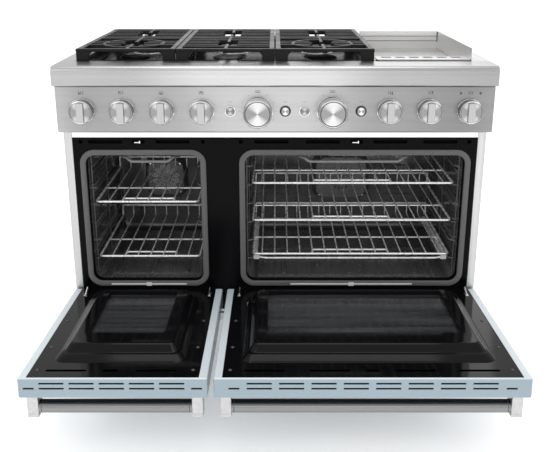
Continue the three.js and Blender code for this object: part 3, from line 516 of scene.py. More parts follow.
def smooth_path(points, radius, steps=4):
    """Rounds the corners of a polyline."""
    points = [Vector(p) for p in points]
    out = [points[0]]
    for before, here, after in zip(points, points[1:], points[2:]):
        one, two = before - here, after - here
        reach = min(radius, one.length * 0.45, two.length * 0.45)
        start, end = here + one.normalized() * reach, here + two.normalized() * reach
        for i in range(steps + 1):
            t = i / steps
            out.append(start * (1 - t) ** 2 + here * 2 * t * (1 - t) + end * t ** 2)
    out.append(points[-1])
    return out


def tube(bm, points, radius, sides=10, bend=0.0, closed=False):
    """A round wire along a polyline."""
    path = smooth_path(points, bend) if bend else [Vector(p) for p in points]
    rings = []
    up = None
    for i, point in enumerate(path):
        before = path[i - 1] if i or closed else point
        after = path[(i + 1) % len(path)] if i + 1 < len(path) or closed else point
        along = (after - before).normalized()
        if up is None:
            up = along.orthogonal().normalized()
        up = (up - along * up.dot(along)).normalized()
        side = along.cross(up)
        turns = [2 * math.pi * k / sides for k in range(sides)]
        rings.append([point + up * radius * math.cos(t) + side * radius * math.sin(t) for t in turns])
    if closed:
        rings.append(rings[0])
    ring_faces(bm, rings, cap_start=not closed, cap_end=not closed)
    return bm


def rounded(x0, x1, z0, z1, radius, steps=8):
    """Points of a rounded rectangle in X-Z, always the same number."""
    points = []
    corners = ((x1 - radius, z0 + radius, -90), (x1 - radius, z1 - radius, 0),
               (x0 + radius, z1 - radius, 90), (x0 + radius, z0 + radius, 180))
    for cx, cz, start in corners:
        for i in range(steps + 1):
            angle = math.radians(start + 90 * i / steps)
            points.append((cx + radius * math.cos(angle), cz + radius * math.sin(angle)))
    return points


def stand(outline, y):
    """An X-Z outline as points on one Y plane."""
    return [(x, y, z) for x, z in outline]


def circle(x, z, radius, steps=20):
    return [(x + radius * math.cos(2 * math.pi * i / steps),
             z + radius * math.sin(2 * math.pi * i / steps)) for i in range(steps)]


def plate(outline, holes, y0, y1, bevel=0.0):
    """A flat sheet in X-Z between two Y planes, with holes through it."""
    data = bpy.data.curves.new("plate", "CURVE")
    data.dimensions = "2D"
    data.fill_mode = "BOTH"
    data.extrude = max((y1 - y0) / 2 - bevel, 0.001)
    data.bevel_depth = bevel
    data.bevel_resolution = 1
    data.offset = -bevel
    for ring in (outline, *holes):
        spline = data.splines.new("POLY")
        spline.points.add(len(ring) - 1)
        spline.use_cyclic_u = True
        for point, (x, z) in zip(spline.points, ring):
            point.co = (x, z, 0, 1)
    holder = bpy.data.objects.new("plate", data)
    bpy.context.collection.objects.link(holder)
    graph = bpy.context.evaluated_depsgraph_get()
    mesh = bpy.data.meshes.new_from_object(holder.evaluated_get(graph))
    bpy.data.objects.remove(holder)
    bpy.data.curves.remove(data)
    turn = Matrix(((1, 0, 0, 0), (0, 0, -1, (y0 + y1) / 2), (0, 1, 0, 0), (0, 0, 0, 1)))
    mesh.transform(turn)
    return mesh


def carve(solid, cutters):
    """solid minus every cutter, each a bmesh; returns a mesh."""
    objects = []
    for bm in (solid, *cutters):
        bmesh.ops.recalc_face_normals(bm, faces=bm.faces)
        mesh = bpy.data.meshes.new("carve")
        bm.to_mesh(mesh)
        bm.free()
        made = bpy.data.objects.new("carve", mesh)
        bpy.context.collection.objects.link(made)
        objects.append(made)
    base = objects[0]
    for cutter in objects[1:]:
        modifier = base.modifiers.new("cut", "BOOLEAN")
        modifier.operation = "DIFFERENCE"
        modifier.solver = "EXACT"
        modifier.object = cutter
    graph = bpy.context.evaluated_depsgraph_get()
    result = bpy.data.meshes.new_from_object(base.evaluated_get(graph))
    for made in objects:
        bpy.data.objects.remove(made)
    return result


def merged(*meshes):
    """One bmesh from several meshes or bmeshes."""
    bm = bmesh.new()
    for item in meshes:
        if isinstance(item, bmesh.types.BMesh):
            holder = bpy.data.meshes.new("part")
            item.to_mesh(holder)
            item.free()
        else:
            holder = item
        bm.from_mesh(holder)
    return bm


# ------------------------------------------------------------------ cabinet
POST_WIDTH = 23.7
SIDE_SCREW = [(0, 0.9), (3.6, 0.9), (4.6, 0.1), (4.6, -0.4)]


def add_cabinet():
    for side, inward in (("left", 1), ("right", -1)):
        low, high = node_box(f"side_panel_{side}")
        outer = low.x if side == "left" else high.x
        skin = sorted((outer, outer + 2 * inward))
        emit(f"side_skin_{side}", slabs(((skin[0], 1.5, low.z), (skin[1], high.y, high.z)), bevel=0.8),
             "steel_deep", slot="stainless", replaces=[f"side_panel_{side}"])
        post = sorted((outer, outer + POST_WIDTH * inward))
        top = node_box("control_panel")[1].z - 0.5
        emit(f"front_post_{side}", slabs(((post[0], 0, low.z), (post[1], 14, top)), bevel=2.2, segments=3),
             "steel_upright", slot="stainless")
        bm = bmesh.new()
        for z in (low.z + 40, (low.z + high.z) / 2, high.z - 60):
            for y in (30, high.y - 24):
                lathe(bm, SIDE_SCREW, (outer + 0.5 * inward, y, z), "X", 16, -inward)
        emit(f"side_screws_{side}", bm, "chrome", slot="stainless")


def add_back():
    low, high = node_box("back_panel")
    holes = []
    for row in range(3):
        for i in range(16):
            x = -330 + i * 44
            z = high.z - 90 - row * 26
            holes.append(rounded(x - 15, x + 15, z - 3.5, z + 3.5, 3.4, 3))
    inlet_x, _, inlet_z = node_middle("gas_inlet")
    holes.append(circle(inlet_x, inlet_z, 19))
    outline = rounded(low.x, high.x, low.z, high.z, 3, 3)
    emit("back_sheet", plate(outline, holes, low.y, high.y), "zinc", slot="galvanised_steel",
         replaces=["back_panel"])
    # Painted shade: a black sheet inside the back vents stands for the dark cabinet behind them.
    emit("back_vent_painted_shade", slabs(((-350, low.y - 14, high.z - 160), (350, low.y - 12, high.z - 70))),
         "dark", slot="galvanised_steel")
    bm = bmesh.new()
    for i in range(9):
        x = low.x + 12 + i * (high.x - low.x - 24) / 8
        for z in (low.z + 10, high.z - 10):
            lathe(bm, [(0, 0.2), (3.4, 0.2), (4.4, -0.3), (4.4, -0.9)], (x, high.y - 0.2, z), "Y", 12)
    emit("back_screws", bm, "chrome", slot="galvanised_steel")
    rails = [((x - 14, low.y - 6, low.z + 26), (x + 14, low.y - 0.3, high.z - 26)) for x in (-400, 400)]
    emit("back_stiffeners", slabs(*rails, bevel=1), "zinc", slot="galvanised_steel")
    bm = bmesh.new()
    y0, y1 = (corner.y for corner in node_box("gas_inlet"))
    y = y1 - 26
    profile = [(0, y0), (10.4, y0), (10.4, y)]
    while y < y1 - 1.6:
        profile += [(10.4, y), (9.2, y + 0.9), (10.4, y + 1.8)]
        y += 1.8
    profile += [(9.4, y1 - 0.1), (6.5, y1 - 0.1), (6.5, y1 - 20), (0, y1 - 20)]
    lathe(bm, profile, (inlet_x, 0, inlet_z), "Y", 28)
    hexagon = [(0, y1 - 48), (13.8, y1 - 48), (15.8, y1 - 46), (15.8, y1 - 28),
               (13.8, y1 - 26), (0, y1 - 26)]
    lathe(bm, hexagon, (inlet_x, 0, inlet_z), "Y", 6)
    emit("gas_inlet_fitting", bm, "brass", slot="brass", replaces=["gas_inlet"])


def add_base():
    low, high = node_box("base_pan")
    body = slabs(((low.x, low.y + 2.5, low.z), (high.x, high.y, low.z + 2)), bevel=0.6)
    emit("base_sheet", body, "zinc", slot="galvanised_steel", replaces=["base_pan"])
    half = node_box("front_frame")[1].x
    kick = plate(rounded(-half, half, low.z, high.z, 2, 2), [
        rounded(x - 32, x + 32, low.z + 24, low.z + 30, 2.9, 3) for x in range(-420, 421, 84)
    ], low.y, low.y + 2)
    emit("kick_panel", kick, "steel", slot="stainless")
    for name in ("front_left", "front_right", "rear_left", "rear_right"):
        x, y, _ = node_middle(f"leg_{name}")
        top = node_box(f"leg_{name}")[1].z
        profile = [(0, 0), (22.5, 0), (24, 1.5), (24, 6), (22, 8.5), (15.6, 11)]
        z = 12.0
        while z < 58:
            profile += [(15.6, z), (14.4, z + 1.2), (15.6, z + 2.4)]
            z += 2.4
        profile += [(19, 61), (20, 62.5), (20, top - 1), (19, top), (0, top)]
        emit(f"adjustable_leg_{name}", lathe(bmesh.new(), profile, (x, y, 0), "Z", 32), "steel_upright",
             slot="galvanised_steel", replaces=[f"leg_{name}"])


# ------------------------------------------------------------------ oven front and cavities
def seal_box(side):
    low, high = node_box(f"oven_gasket_{side}")
    return low.x, high.x, low.z, high.z


# The front frame and the doors' inner panels carry the same vents and latch hole, placed along X by
# shares of the oven's width.
VENT = (98, 9)
LATCH = (36, 12)
VENTS = {"left": [0.21, 0.74], "right": [0.14, 0.36, 0.65, 0.865]}
LATCHES = {"left": 0.47, "right": 0.505}
FRAME_VENT_DROP = 13.5
HINGE_SLOT = (203, 257)        # heights between which the hinge arms pass through the front frame


def shares_at(shares, x0, x1):
    return [x0 + (x1 - x0) * share for share in shares]


def stadium(x, z, size):
    length, width = size
    return rounded(x - length / 2, x + length / 2, z - width / 2, z + width / 2, width * 0.48, 5)


GASKET_WIDTH = 17
GASKET_RADIUS = 43


def mouth(side, grow=0.0):
    x0, x1, z0, z1 = seal_box(side)
    inset = GASKET_WIDTH - grow
    return x0 + inset, x1 - inset, z0 + inset, z1 - inset


def add_front_frame():
    low, high = node_box("front_frame")
    holes = []
    for side in ("left", "right"):
        x0, x1, z0, z1 = mouth(side)
        holes.append(rounded(x0, x1, z0, z1, GASKET_RADIUS - GASKET_WIDTH))
    z = high.z - FRAME_VENT_DROP
    for side in ("left", "right"):
        x0, x1 = seal_box(side)[:2]
        for x in (x0 + 6, x1 - 8):
            holes.append(circle(x, z, 5.5))
        holes += [stadium(x, z, VENT) for x in shares_at(VENTS[side], x0, x1)]
        holes += [stadium(x, z, LATCH) for x in shares_at([LATCHES[side]], x0, x1)]
    for x in hinge_xs():
        holes.append(rounded(x - 8, x + 8, *HINGE_SLOT, 5, 3))
    mesh = plate(rounded(low.x, high.x, low.z, high.z, 3, 3), holes, low.y, low.y + 3.5, bevel=0.8)
    emit("front_frame_plate", mesh, "front", slot="black_porcelain", replaces=["front_frame"])
    # Painted shade: a black sheet behind the frame shows through its vents, latch holes and hinge slots.
    backing_holes = [rounded(*mouth(side, -1), GASKET_RADIUS - GASKET_WIDTH) for side in ("left", "right")]
    mesh = plate(rounded(low.x + 2, high.x - 2, low.z + 2, high.z - 2, 3, 3), backing_holes,
                 high.y - 2.5, high.y)
    emit("front_frame_painted_shade", mesh, "dark", slot="black_porcelain")
    bm = bmesh.new()
    for side in ("left", "right"):
        x = shares_at([LATCHES[side]], *seal_box(side)[:2])[0]
        slab(bm, (x - 12, -1, high.z - 17), (x + 6, 0.4, high.z - 14), 0.6)
        slab(bm, (x + 3, -6, high.z - 17), (x + 6, 0.4, high.z - 9), 0.6)
    emit("door_latch_hooks", bm, "chrome", slot="handle_steel")


def hinge_xs():
    left0, left1 = seal_box("left")[:2]
    right0, right1 = seal_box("right")[:2]
    return (left0 + 1, left1 + 4, right0 - 2, right1 + 4)


def add_gaskets():
    for side in ("left", "right"):
        x0, x1, z0, z1 = seal_box(side)
        low, high = node_box(f"oven_gasket_{side}")
        depth = (high.y - low.y) / 2
        middle = (low.y + high.y) / 2
        half = GASKET_WIDTH / 2
        rings = []
        sides = 14
        for k in range(sides):
            angle = 2 * math.pi * k / sides
            inset = half - half * math.copysign(abs(math.cos(angle)) ** 0.75, math.cos(angle))
            y = middle + depth * math.copysign(abs(math.sin(angle)) ** 0.75, math.sin(angle))
            ring = rounded(x0 + inset, x1 - inset, z0 + inset, z1 - inset, GASKET_RADIUS - inset, 10)
            rings.append(stand(ring, y))
        rings.append(rings[0])
        bm = bmesh.new()
        ring_faces(bm, rings, cap_start=False, cap_end=False)
        emit(f"gasket_braid_{side}", bm, "gasket", slot="gasket", replaces=[f"oven_gasket_{side}"],
             sharp=60)
        centre = (x0 + x1) / 2
        reach = (x1 - x0) * 0.23 + 30
        bm = bmesh.new()
        for a, b in ((centre - reach, centre - 7), (centre + 7, centre + reach)):
            slab(bm, (a, low.y - 0.2, z0 + 5), (b, low.y + 1.6, z0 + 10), 0.5)
        slab(bm, (centre - 8, low.y - 0.2, z0 + 1), (centre + 8, low.y + 1.6, z0 + 13), 0.5)
        emit(f"gasket_joint_{side}", bm, "lamp", slot="rack_chrome")


def add_liner(side):
    x0, x1, z0, z1 = mouth(side)
    low, high = node_box(f"oven_liner_{side}")
    front, back = low.y, high.y - 2.2
    radius = GASKET_RADIUS - GASKET_WIDTH
    bm = bmesh.new()
    stations = [(0, front + 0.4), (0, back - 14), (2, back - 7), (7, back - 2), (16, back)]
    rings = []
    for inset, y in stations:
        ring = rounded(x0 + inset, x1 - inset, z0 + inset, z1 - inset, max(radius - inset * 0.6, 8), 8)
        rings.append(stand(ring, y))
    ring_faces(bm, rings, cap_start=False)
    emit(f"liner_shell_{side}", bm, "oven", slot="oven_enamel", replaces=[f"oven_liner_{side}"],
         thickness=-1.6)
    bm = bmesh.new()
    for i in range(4):
        z = z0 + 70 + i * (z1 - z0 - 140) / 3
        for wall, inward in ((x0, 1), (x1, -1)):
            a, b = sorted((wall - 0.5 * inward, wall + 3.2 * inward))
            slab(bm, (a, front + 40, z - 5), (b, back - 30, z + 5), 2.4, 3)
    middle = (x0 + x1) / 2
    for x in (middle - (x1 - x0) * 0.32, middle, middle + (x1 - x0) * 0.32):
        slab(bm, (x - 7, front + 30, z0 - 0.5), (x + 7, back - 30, z0 + 2.4), 2, 3)
    emit(f"liner_ribs_{side}", bm, "oven", slot="oven_enamel")
    guides = bmesh.new()
    rack = rack_plan(side)
    for wall, inward in ((x0, 1), (x1, -1)):
        for y in (front + 26, (front + back) / 2, back - 22):
            tube(guides, [(wall + 3.4 * inward, y, z0 + 12), (wall + 3.4 * inward, y, z1 - 12)], 1.8, 10)
        for z in rack["levels"]:
            reach = wall + (rack["gap"] + 3) * inward
            rest = z - RACK_ROD_RADIUS - 2.6
            points = [(wall + 4 * inward, front + 12, rest), (reach, front + 20, rest),
                      (reach, back - 16, rest), (wall + 4 * inward, back - 8, rest)]
            tube(guides, points, 2.0, 10, 8)
    emit(f"rack_guides_{side}", guides, "cover", slot="rack_chrome")
    lamp = bmesh.new()
    lathe(lamp, [(0, 11), (8, 10), (16, 6), (19, 0), (21, -1)], (x1 - 60, back, z1 - 58), "Y", 28, -1)
    emit(f"oven_lamp_{side}", lamp, "lamp", slot="oven_enamel")


def add_broiler(side):
    x0, x1, _, z1 = mouth(side)
    front = node_box(f"oven_liner_{side}")[0].y
    bm = bmesh.new()
    for inset, y0, drop in ((0, front + 66, 36), (62, front + 130, 33)):
        a, b = x0 + (x1 - x0) * 0.25 + inset, x0 + (x1 - x0) * 0.77 - inset
        y1, z = front + 350, z1 - drop
        points = [(a, y1, z), (a, y0 + 30, z), (a + 16, y0 + 6, z + 4), (a + 30, y0, z - 7),
                  (b - 30, y0, z - 7), (b - 16, y0 + 6, z + 4), (b, y0 + 30, z), (b, y1, z)]
        tube(bm, points, 4.6, 12, 12)
    for x in shares_at((0.3, 0.72), x0, x1):
        slab(bm, (x - 2, front + 106, z1 - 42), (x + 2, front + 112, z1 - 1), 0.8)
    emit(f"broil_element_{side}", bm, "sheath", slot="oven_enamel")


FAN_HOLE_RINGS = ((14, 2.6, 6), (26, 3.4, 12), (38, 4.2, 12), (50, 5.0, 12))   # radius, hole radius, count


def fan_cover_holes(side, cx, cz):
    """Rings of round holes on the left, eighteen tapered slots on the right."""
    holes = []
    if side == "left":
        for ring, (radius, size, count) in enumerate(FAN_HOLE_RINGS):
            for i in range(count):
                angle = 2 * math.pi * (i + (ring % 2) * 0.5) / count
                holes.append(circle(cx + radius * math.cos(angle), cz + radius * math.sin(angle), size, 10))
        return holes
    slot = [(13, -1.2), (41, -3.4), (41, 3.4), (13, 1.2)]
    for i in range(18):
        angle = 2 * math.pi * i / 18
        along = Vector((math.cos(angle), math.sin(angle)))
        across = Vector((-math.sin(angle), math.cos(angle)))
        holes.append([(cx + along.x * r + across.x * t, cz + along.y * r + across.y * t) for r, t in slot])
    return holes


def add_fan_cover(side):
    node = f"fan_cover_{side}"
    low, high = node_box(node)
    cx, front, cz = (low.x + high.x) / 2, low.y, (low.z + high.z) / 2
    width, height = high.x - low.x, high.z - low.z
    corner = min(width, height) * 0.2
    inset = 15

    def outline(step, radius):
        return rounded(cx - width / 2 + step, cx + width / 2 - step,
                       cz - height / 2 + step, cz + height / 2 - step, radius, 5)

    face = plate(outline(inset, corner), fan_cover_holes(side, cx, cz), front, front + 1.6, 0.3)
    bm = bmesh.new()
    stations = ((inset, front + 0.6), (inset - 3, front + 1.6), (4, high.y - 5), (1, high.y - 1.5),
                (0.2, high.y))
    flank = [stand(outline(step, corner + 5), y) for step, y in stations]
    ring_faces(bm, flank, cap_start=False, cap_end=False)
    emit(f"fan_shroud_{side}", merged(face, bm), "cover", slot="oven_enamel", replaces=[node])
    bm = bmesh.new()
    for dx in (-1, 1):
        for dz in (-1, 1):
            spot = (cx + dx * (width / 2 - inset - 9), front, cz + dz * (height / 2 - inset - 9))
            lathe(bm, [(0, 2.2), (3, 2), (4.5, 0.6), (4.5, -0.5)], spot, "Y", 14, -1)
    emit(f"fan_shroud_screws_{side}", bm, "chrome", slot="rack_chrome")
    if side == "left":
        add_dimples(cx, front, cz)


def add_dimples(cx, front, cz):
    """The star of small dimples on the left cover, in twelve petals, with painted highlights: they take the
    bright rack-wire colour.
    """
    bm = bmesh.new()
    for petal in range(12):
        angle = 2 * math.pi * (petal + 0.5) / 12
        for ring, across in enumerate((1, 1, 2, 2, 3, 3, 2, 1)):
            away = 11 + ring * 6
            for k in range(across):
                turn = angle + (k - (across - 1) / 2) * 5.6 / away
                spot = (cx + away * math.cos(turn), front, cz + away * math.sin(turn))
                lathe(bm, [(0, 0.8), (1.2, 0.7), (1.9, 0.2), (1.9, -0.3)], spot, "Y", 8, -1)
    emit("fan_shroud_dimples", bm, "wire", slot="rack_chrome")


def add_fan(side):
    node = f"convection_fan_{side}"
    low, high = node_box(node)
    radius = (high.x - low.x) / 2 - 1
    centre = layout(JOINTS[f"{node}_spin"]["pos_m"])
    bm = bmesh.new()
    lathe(bm, [(0, -7.5), (9, -7.5), (11.5, -5), (11.5, 5), (radius - 4, 5), (radius - 3, 5.6),
               (radius - 4, 6.3), (5, 6.3), (5, 29), (0, 29)], centre, "Y", 40)
    for i in range(12):
        blade = slabs(((radius - 18, -5.6, -0.7), (radius - 1, 5.2, 0.7)), bevel=0.4)
        pitch = (Matrix.Translation((radius - 9, 0, 0)) @ Matrix.Rotation(0.5, 4, "Y")
                 @ Matrix.Translation((9 - radius, 0, 0)))
        blade.transform(Matrix.Translation(centre) @ Matrix.Rotation(2 * math.pi * i / 12, 4, "Y") @ pitch)
        bm = merged(bm, blade)
    emit(f"fan_wheel_{side}", bm, "zinc", node, "fan_aluminium", [node])


# ------------------------------------------------------------------ racks
WIRE_PITCH = 38.6
RACK_LEVELS = 6
LEVEL_STEP = 58.5
RACK_RISE = 41.5               # top of a rack's rear stop above the plane of its rods
RACK_ROD_RADIUS = 3.5          # the CAD's rods; the drawn ones are a little thinner


def rack_plan(side):
    """The room beside a rack, and the heights of all the places, worked out from one rack in its own."""
    node, position = ("rack_left_lower", 1) if side == "left" else ("rack_right_middle", 3)
    low, high = node_box(node)
    first = high.z - RACK_RISE - (position - 1) * LEVEL_STEP
    return {"gap": low.x - mouth(side)[0], "levels": [first + i * LEVEL_STEP for i in range(RACK_LEVELS)]}


def add_rack(name, handle_reach):
    low, high = node_box(name)
    x0, x1 = low.x + RACK_ROD_RADIUS, high.x - RACK_ROD_RADIUS
    y0, y1 = low.y + RACK_ROD_RADIUS, high.y - RACK_ROD_RADIUS
    z, top = high.z - RACK_RISE, high.z - RACK_ROD_RADIUS
    middle = (x0 + x1) / 2
    bm = bmesh.new()
    rim = [(x0, y1, top), (x0, y1, z), (x0, y0, z), (x1, y0, z), (x1, y1, z), (x1, y1, top)]
    tube(bm, rim, 3.4, 12, 12)
    tube(bm, [(x0, y1, top), (x1, y1, top)], 3.2, 12)
    cross = (y0 + y1) / 2 - 34
    tube(bm, [(x0, cross, z - 4.4), (x1, cross, z - 4.4)], 2.6, 10)
    reach = handle_reach * WIRE_PITCH
    grip = [(middle - reach, y0 + 12, z - 1), (middle - reach, y0 + 41, z - 4),
            (middle + reach, y0 + 41, z - 4), (middle + reach, y0 + 12, z - 1)]
    tube(bm, grip, 2.8, 10, 6)
    count = int((x1 - x0 - 24) / 2 / WIRE_PITCH)
    for k in range(-count, count + 1):
        x = middle + k * WIRE_PITCH
        tube(bm, [(x, y0, z), (x, y1, z), (x, y1, top)], 2.0, 8, 7)
    emit(f"{name}_wires", bm, "wire", name, "rack_chrome", [name])


def add_glide():
    low, high = node_box("glide_frame")
    rack = node_box("rack_right_glide")[1].z - RACK_RISE
    x0, x1 = low.x + 12, high.x - 12
    y0, y1 = low.y, high.y
    bm = bmesh.new()
    for x, out in ((x0, -1), (x1, 1)):
        slab(bm, (x - 2.6, y0 + 2, low.z), (x + 2.6, y1, rack - 7.5), 1.2)
        edges = sorted((x, x + 9 * out))
        slab(bm, (edges[0], y0 + 14, rack - 10.5), (edges[1], y1, rack - 7.4), 0.8)
        roller = [(0, 3), (4.5, 3), (5, 2), (5, -2), (4.5, -3), (0, -3)]
        lathe(bm, roller, (x, y0 + 16, low.z + 6), "X", 18)
    z = (low.z + rack - 7.5) / 2
    tube(bm, [(x0, y0 + 26, z), (x0 + 4, y0 + 6, z), (x0 + 26, y0 + 3.4, z - 3),
              (x1 - 26, y0 + 3.4, z - 3), (x1 - 4, y0 + 6, z), (x1, y0 + 26, z)], 3.2, 12, 10)
    tube(bm, [(x0, y1 - 4, z), (x1, y1 - 4, z)], 3, 10)
    emit("glide_runners", bm, "wire", slot="rack_chrome", replaces=["glide_frame"])
    brackets = [((x - 10, y0 + 0.6, low.z + 0.4), (x + 8, y0 + 13, low.z + 16)) for x in (x0, x1)]
    emit("glide_brackets", slabs(*brackets, bevel=1.6, segments=3), "lamp", slot="rack_chrome")


# ------------------------------------------------------------------ controls
def add_knob(name, spec):
    cx, _, cz = node_middle(name)
    face_y = node_box("control_panel")[0].y
    centre = (cx, face_y, cz)
    skirt, face, body, neck = spec["skirt"], spec["face"], spec["body"], spec["neck"]
    groove = face * spec["groove"]

    def turned(part, paint, profile, segments=64, replaces=()):
        emit(f"{name}_{part}", lathe(bmesh.new(), profile, centre, "Y", segments, -1), paint, name,
             "handle_steel", replaces, centre=centre)

    turned("ring", "chrome", [(0, 0.7), (skirt - 0.6, 0.7), (skirt, 1.4), (skirt, 3.4), (skirt - 0.8, 4.2),
                              (skirt - 2, 4.2), (skirt - 2.6, 3.2), (0, 3.2)])
    # The neck is painted shade: black, for the shade in the gap between the ring and the face.
    turned("neck", "element", [(0, 3), (face - 2.2, 3), (face - 2.2, neck), (0, neck)])
    turned("body", "spun", [(0, neck - 1), (face - 1, neck - 1), (face, neck), (face, body - 2.6),
                            (face - 0.7, body - 1), (face - 2, body - 0.2), (face - 3.6, body - 0.2),
                            (face - 4.2, body - 0.9), (face * 0.5, body - 0.7), (0, body - 0.6)],
           72, [name])
    # The groove is painted shade: a black ring in the face.
    turned("groove", "element", [(groove, body - 2), (groove, body - 0.3), (groove + 2, body - 0.3),
                                 (groove + 2, body - 2)], 72)
    if "grip" not in spec:
        return
    half, reach, depth = spec["grip"] / 2, groove - 0.6, spec["depth"]
    bm = bmesh.new()
    rings = []
    for grow, y in ((1.2, body - 3), (0.9, body), (0.2, depth - 2.4), (-0.8, depth - 0.6), (-2.4, depth)):
        ring = rounded(cx - half - grow, cx + half + grow, cz - reach - grow * 0.5, cz + reach + grow * 0.5,
                       half * 0.4, 5)
        rings.append(stand(ring, face_y - y))
    ring_faces(bm, rings)
    emit(f"{name}_grip", bm, "handle_grip", name, "handle_steel", centre=centre)


def add_button(name, ringed):
    low, high = node_box(name)
    cx, _, cz = node_middle(name)
    centre = (cx, node_box("control_panel")[0].y, cz)
    radius = (high.x - low.x) / 2
    cap = [(0, -3), (radius - 3, -3), (radius - 2.4, 5.2), (radius - 3.2, 6.6), (radius - 5, 6.8),
           (radius - 6, 6.4), (0, 5.8)]
    emit(f"{name}_cap", lathe(bmesh.new(), cap, centre, "Y", 40, -1), "spun" if ringed else "spun_small",
         name, "button_chrome", [name], centre=centre)
    inner = radius - (1.2 if ringed else 2)
    bezel = [(inner, 0.2), (radius + 0.8, 0.2), (radius + 1.4, 1), (radius + 1, 2.6), (inner + 0.8, 3.2),
             (inner, 2.6), (inner, 0.2)]
    # Ringed buttons' bezels are painted shade: black, for the dark ring around the cap.
    emit(f"{name}_bezel", lathe(bmesh.new(), bezel, centre, "Y", 40, -1), "element" if ringed else "chrome",
         slot="button_chrome")


SMALL_KNOB = {"skirt": 35, "face": 32.5, "neck": 9, "body": 23, "groove": 0.86, "grip": 20, "depth": 30}
BIG_KNOB = {"skirt": 42, "face": 39.5, "neck": 10, "body": 44, "groove": 0.83}
SMALL_KNOBS = [f"burner_knob_{i}" for i in range(1, 7)] + ["griddle_knob"]
BIG_KNOBS = ["oven_knob_left", "oven_knob_right"]
BUTTONS = {"button_1": False, "button_2": True, "button_3": False, "button_4": True}   # ringed or not
TRIM_STRIP_RISE = 26.3         # foot of the control panel's face above the front frame


def add_panel_marks(face_y):
    """Generic marks with no lettering: burner maps, dials of dots, bars and lamps."""
    ink = bmesh.new()

    def dot(x, z, radius, sides=8, height=0.25):
        lathe(ink, [(0, height), (radius, height), (radius, -0.2)], (x, face_y, z), "Y", sides, -1)

    for index, name in enumerate(SMALL_KNOBS):
        cx, _, cz = node_middle(name)
        for column in range(3):
            for row in range(2):
                here = column * 2 + row == index
                dot(cx + (column - 1) * 5, cz + 51 + (row - 0.5) * 5, 2.4 if here else 1.5, 12)
        for i in range(9):
            angle = math.radians(60 + i * 30)
            dot(cx - math.sin(angle) * 40.5, cz + math.cos(angle) * 40.5, 0.8, height=0.2)
    for name in BIG_KNOBS:
        cx, _, cz = node_middle(name)
        for i in range(11):
            angle = math.radians(30 + i * 30)
            dot(cx + math.sin(angle) * 50, cz + math.cos(angle) * 50, 1.0)
        for rise in (52, 56):
            slab(ink, (cx - 7, face_y - 0.25, cz + rise), (cx + 7, face_y + 0.2, cz + rise + 1.4))
    for name in BUTTONS:
        cx, _, cz = node_middle(name)
        for k in range(3):
            dot(cx - 4 + 4 * k, cz + 26, 1.0)
    cx, _, cz = node_middle("griddle_knob")
    for dx in (-27, 27):
        dot(cx + dx, cz + 50, 3.2, 16, 0.3)
    emit("panel_marks", ink, "ink", slot="stainless")


def add_controls():
    low, high = node_box("control_panel")
    frame_high = node_box("front_frame")[1]
    bottom = frame_high.z + TRIM_STRIP_RISE
    body = slabs(((low.x, low.y, bottom), (high.x, high.y, high.z)), bevel=4.5, segments=4)
    emit("panel_body", body, "panel", slot="stainless", replaces=["control_panel"])
    trim = slabs(((-frame_high.x, -2.2, low.z), (frame_high.x, -0.3, bottom + 10)), bevel=0.7)
    emit("panel_trim_strip", trim, "strip", slot="stainless")
    for name, ringed in BUTTONS.items():
        add_button(name, ringed)
    add_panel_marks(low.y)
    for name in SMALL_KNOBS:
        add_knob(name, SMALL_KNOB)
    for name in BIG_KNOBS:
        add_knob(name, BIG_KNOB)


# ------------------------------------------------------------------ cooktop
def add_bullnose():
    low, high = node_box("bullnose")
    y0, y1, z0, z1 = low.y, high.y, low.z, high.z
    radius = 15
    profile = [(y1, z1 - 18), (y1, z1 - 1.2), (y1 - 1.2, z1)]
    for i in range(11):
        angle = math.radians(90 + 9 * i)
        profile.append((y0 + radius + radius * math.cos(angle), z1 - radius + radius * math.sin(angle)))
    for i in range(6):
        angle = math.radians(180 + 18 * i)
        profile.append((y0 + 5 + 5 * math.cos(angle), z0 + 5 + 5 * math.sin(angle)))
    profile += [(-6, z0), (-6, z0 + 3), (y0 + 12, z0 + 3), (y0 + 12, z1 - 18)]
    bm = bmesh.new()
    rings = []
    cy, cz = (y0 + y1) / 2, (z0 + z1) / 2
    for x, inset in ((low.x, 1.0), (low.x + 0.4, 0.35), (low.x + 1.2, 0),
                     (high.x - 1.2, 0), (high.x - 0.4, 0.35), (high.x, 1.0)):
        shrink_y, shrink_z = 1 - 2 * inset / (y1 - y0), 1 - 2 * inset / (z1 - z0)
        rings.append([(x, cy + (y - cy) * shrink_y, cz + (z - cz) * shrink_z) for y, z in profile])
    ring_faces(bm, rings)
    emit("bullnose_roll", bm, "nose", slot="stainless", replaces=["bullnose"], sharp=40)
    panel_top = node_box("control_panel")[1].z
    caps = slabs(*[((min(x, x + 3), y0 + 14, panel_top - 1), (max(x, x + 3), 1.2, z1 - 2))
                   for x in (low.x + 3, high.x - 6)], bevel=0.6)
    emit("bullnose_end_caps", caps, "steel_deep", slot="stainless")


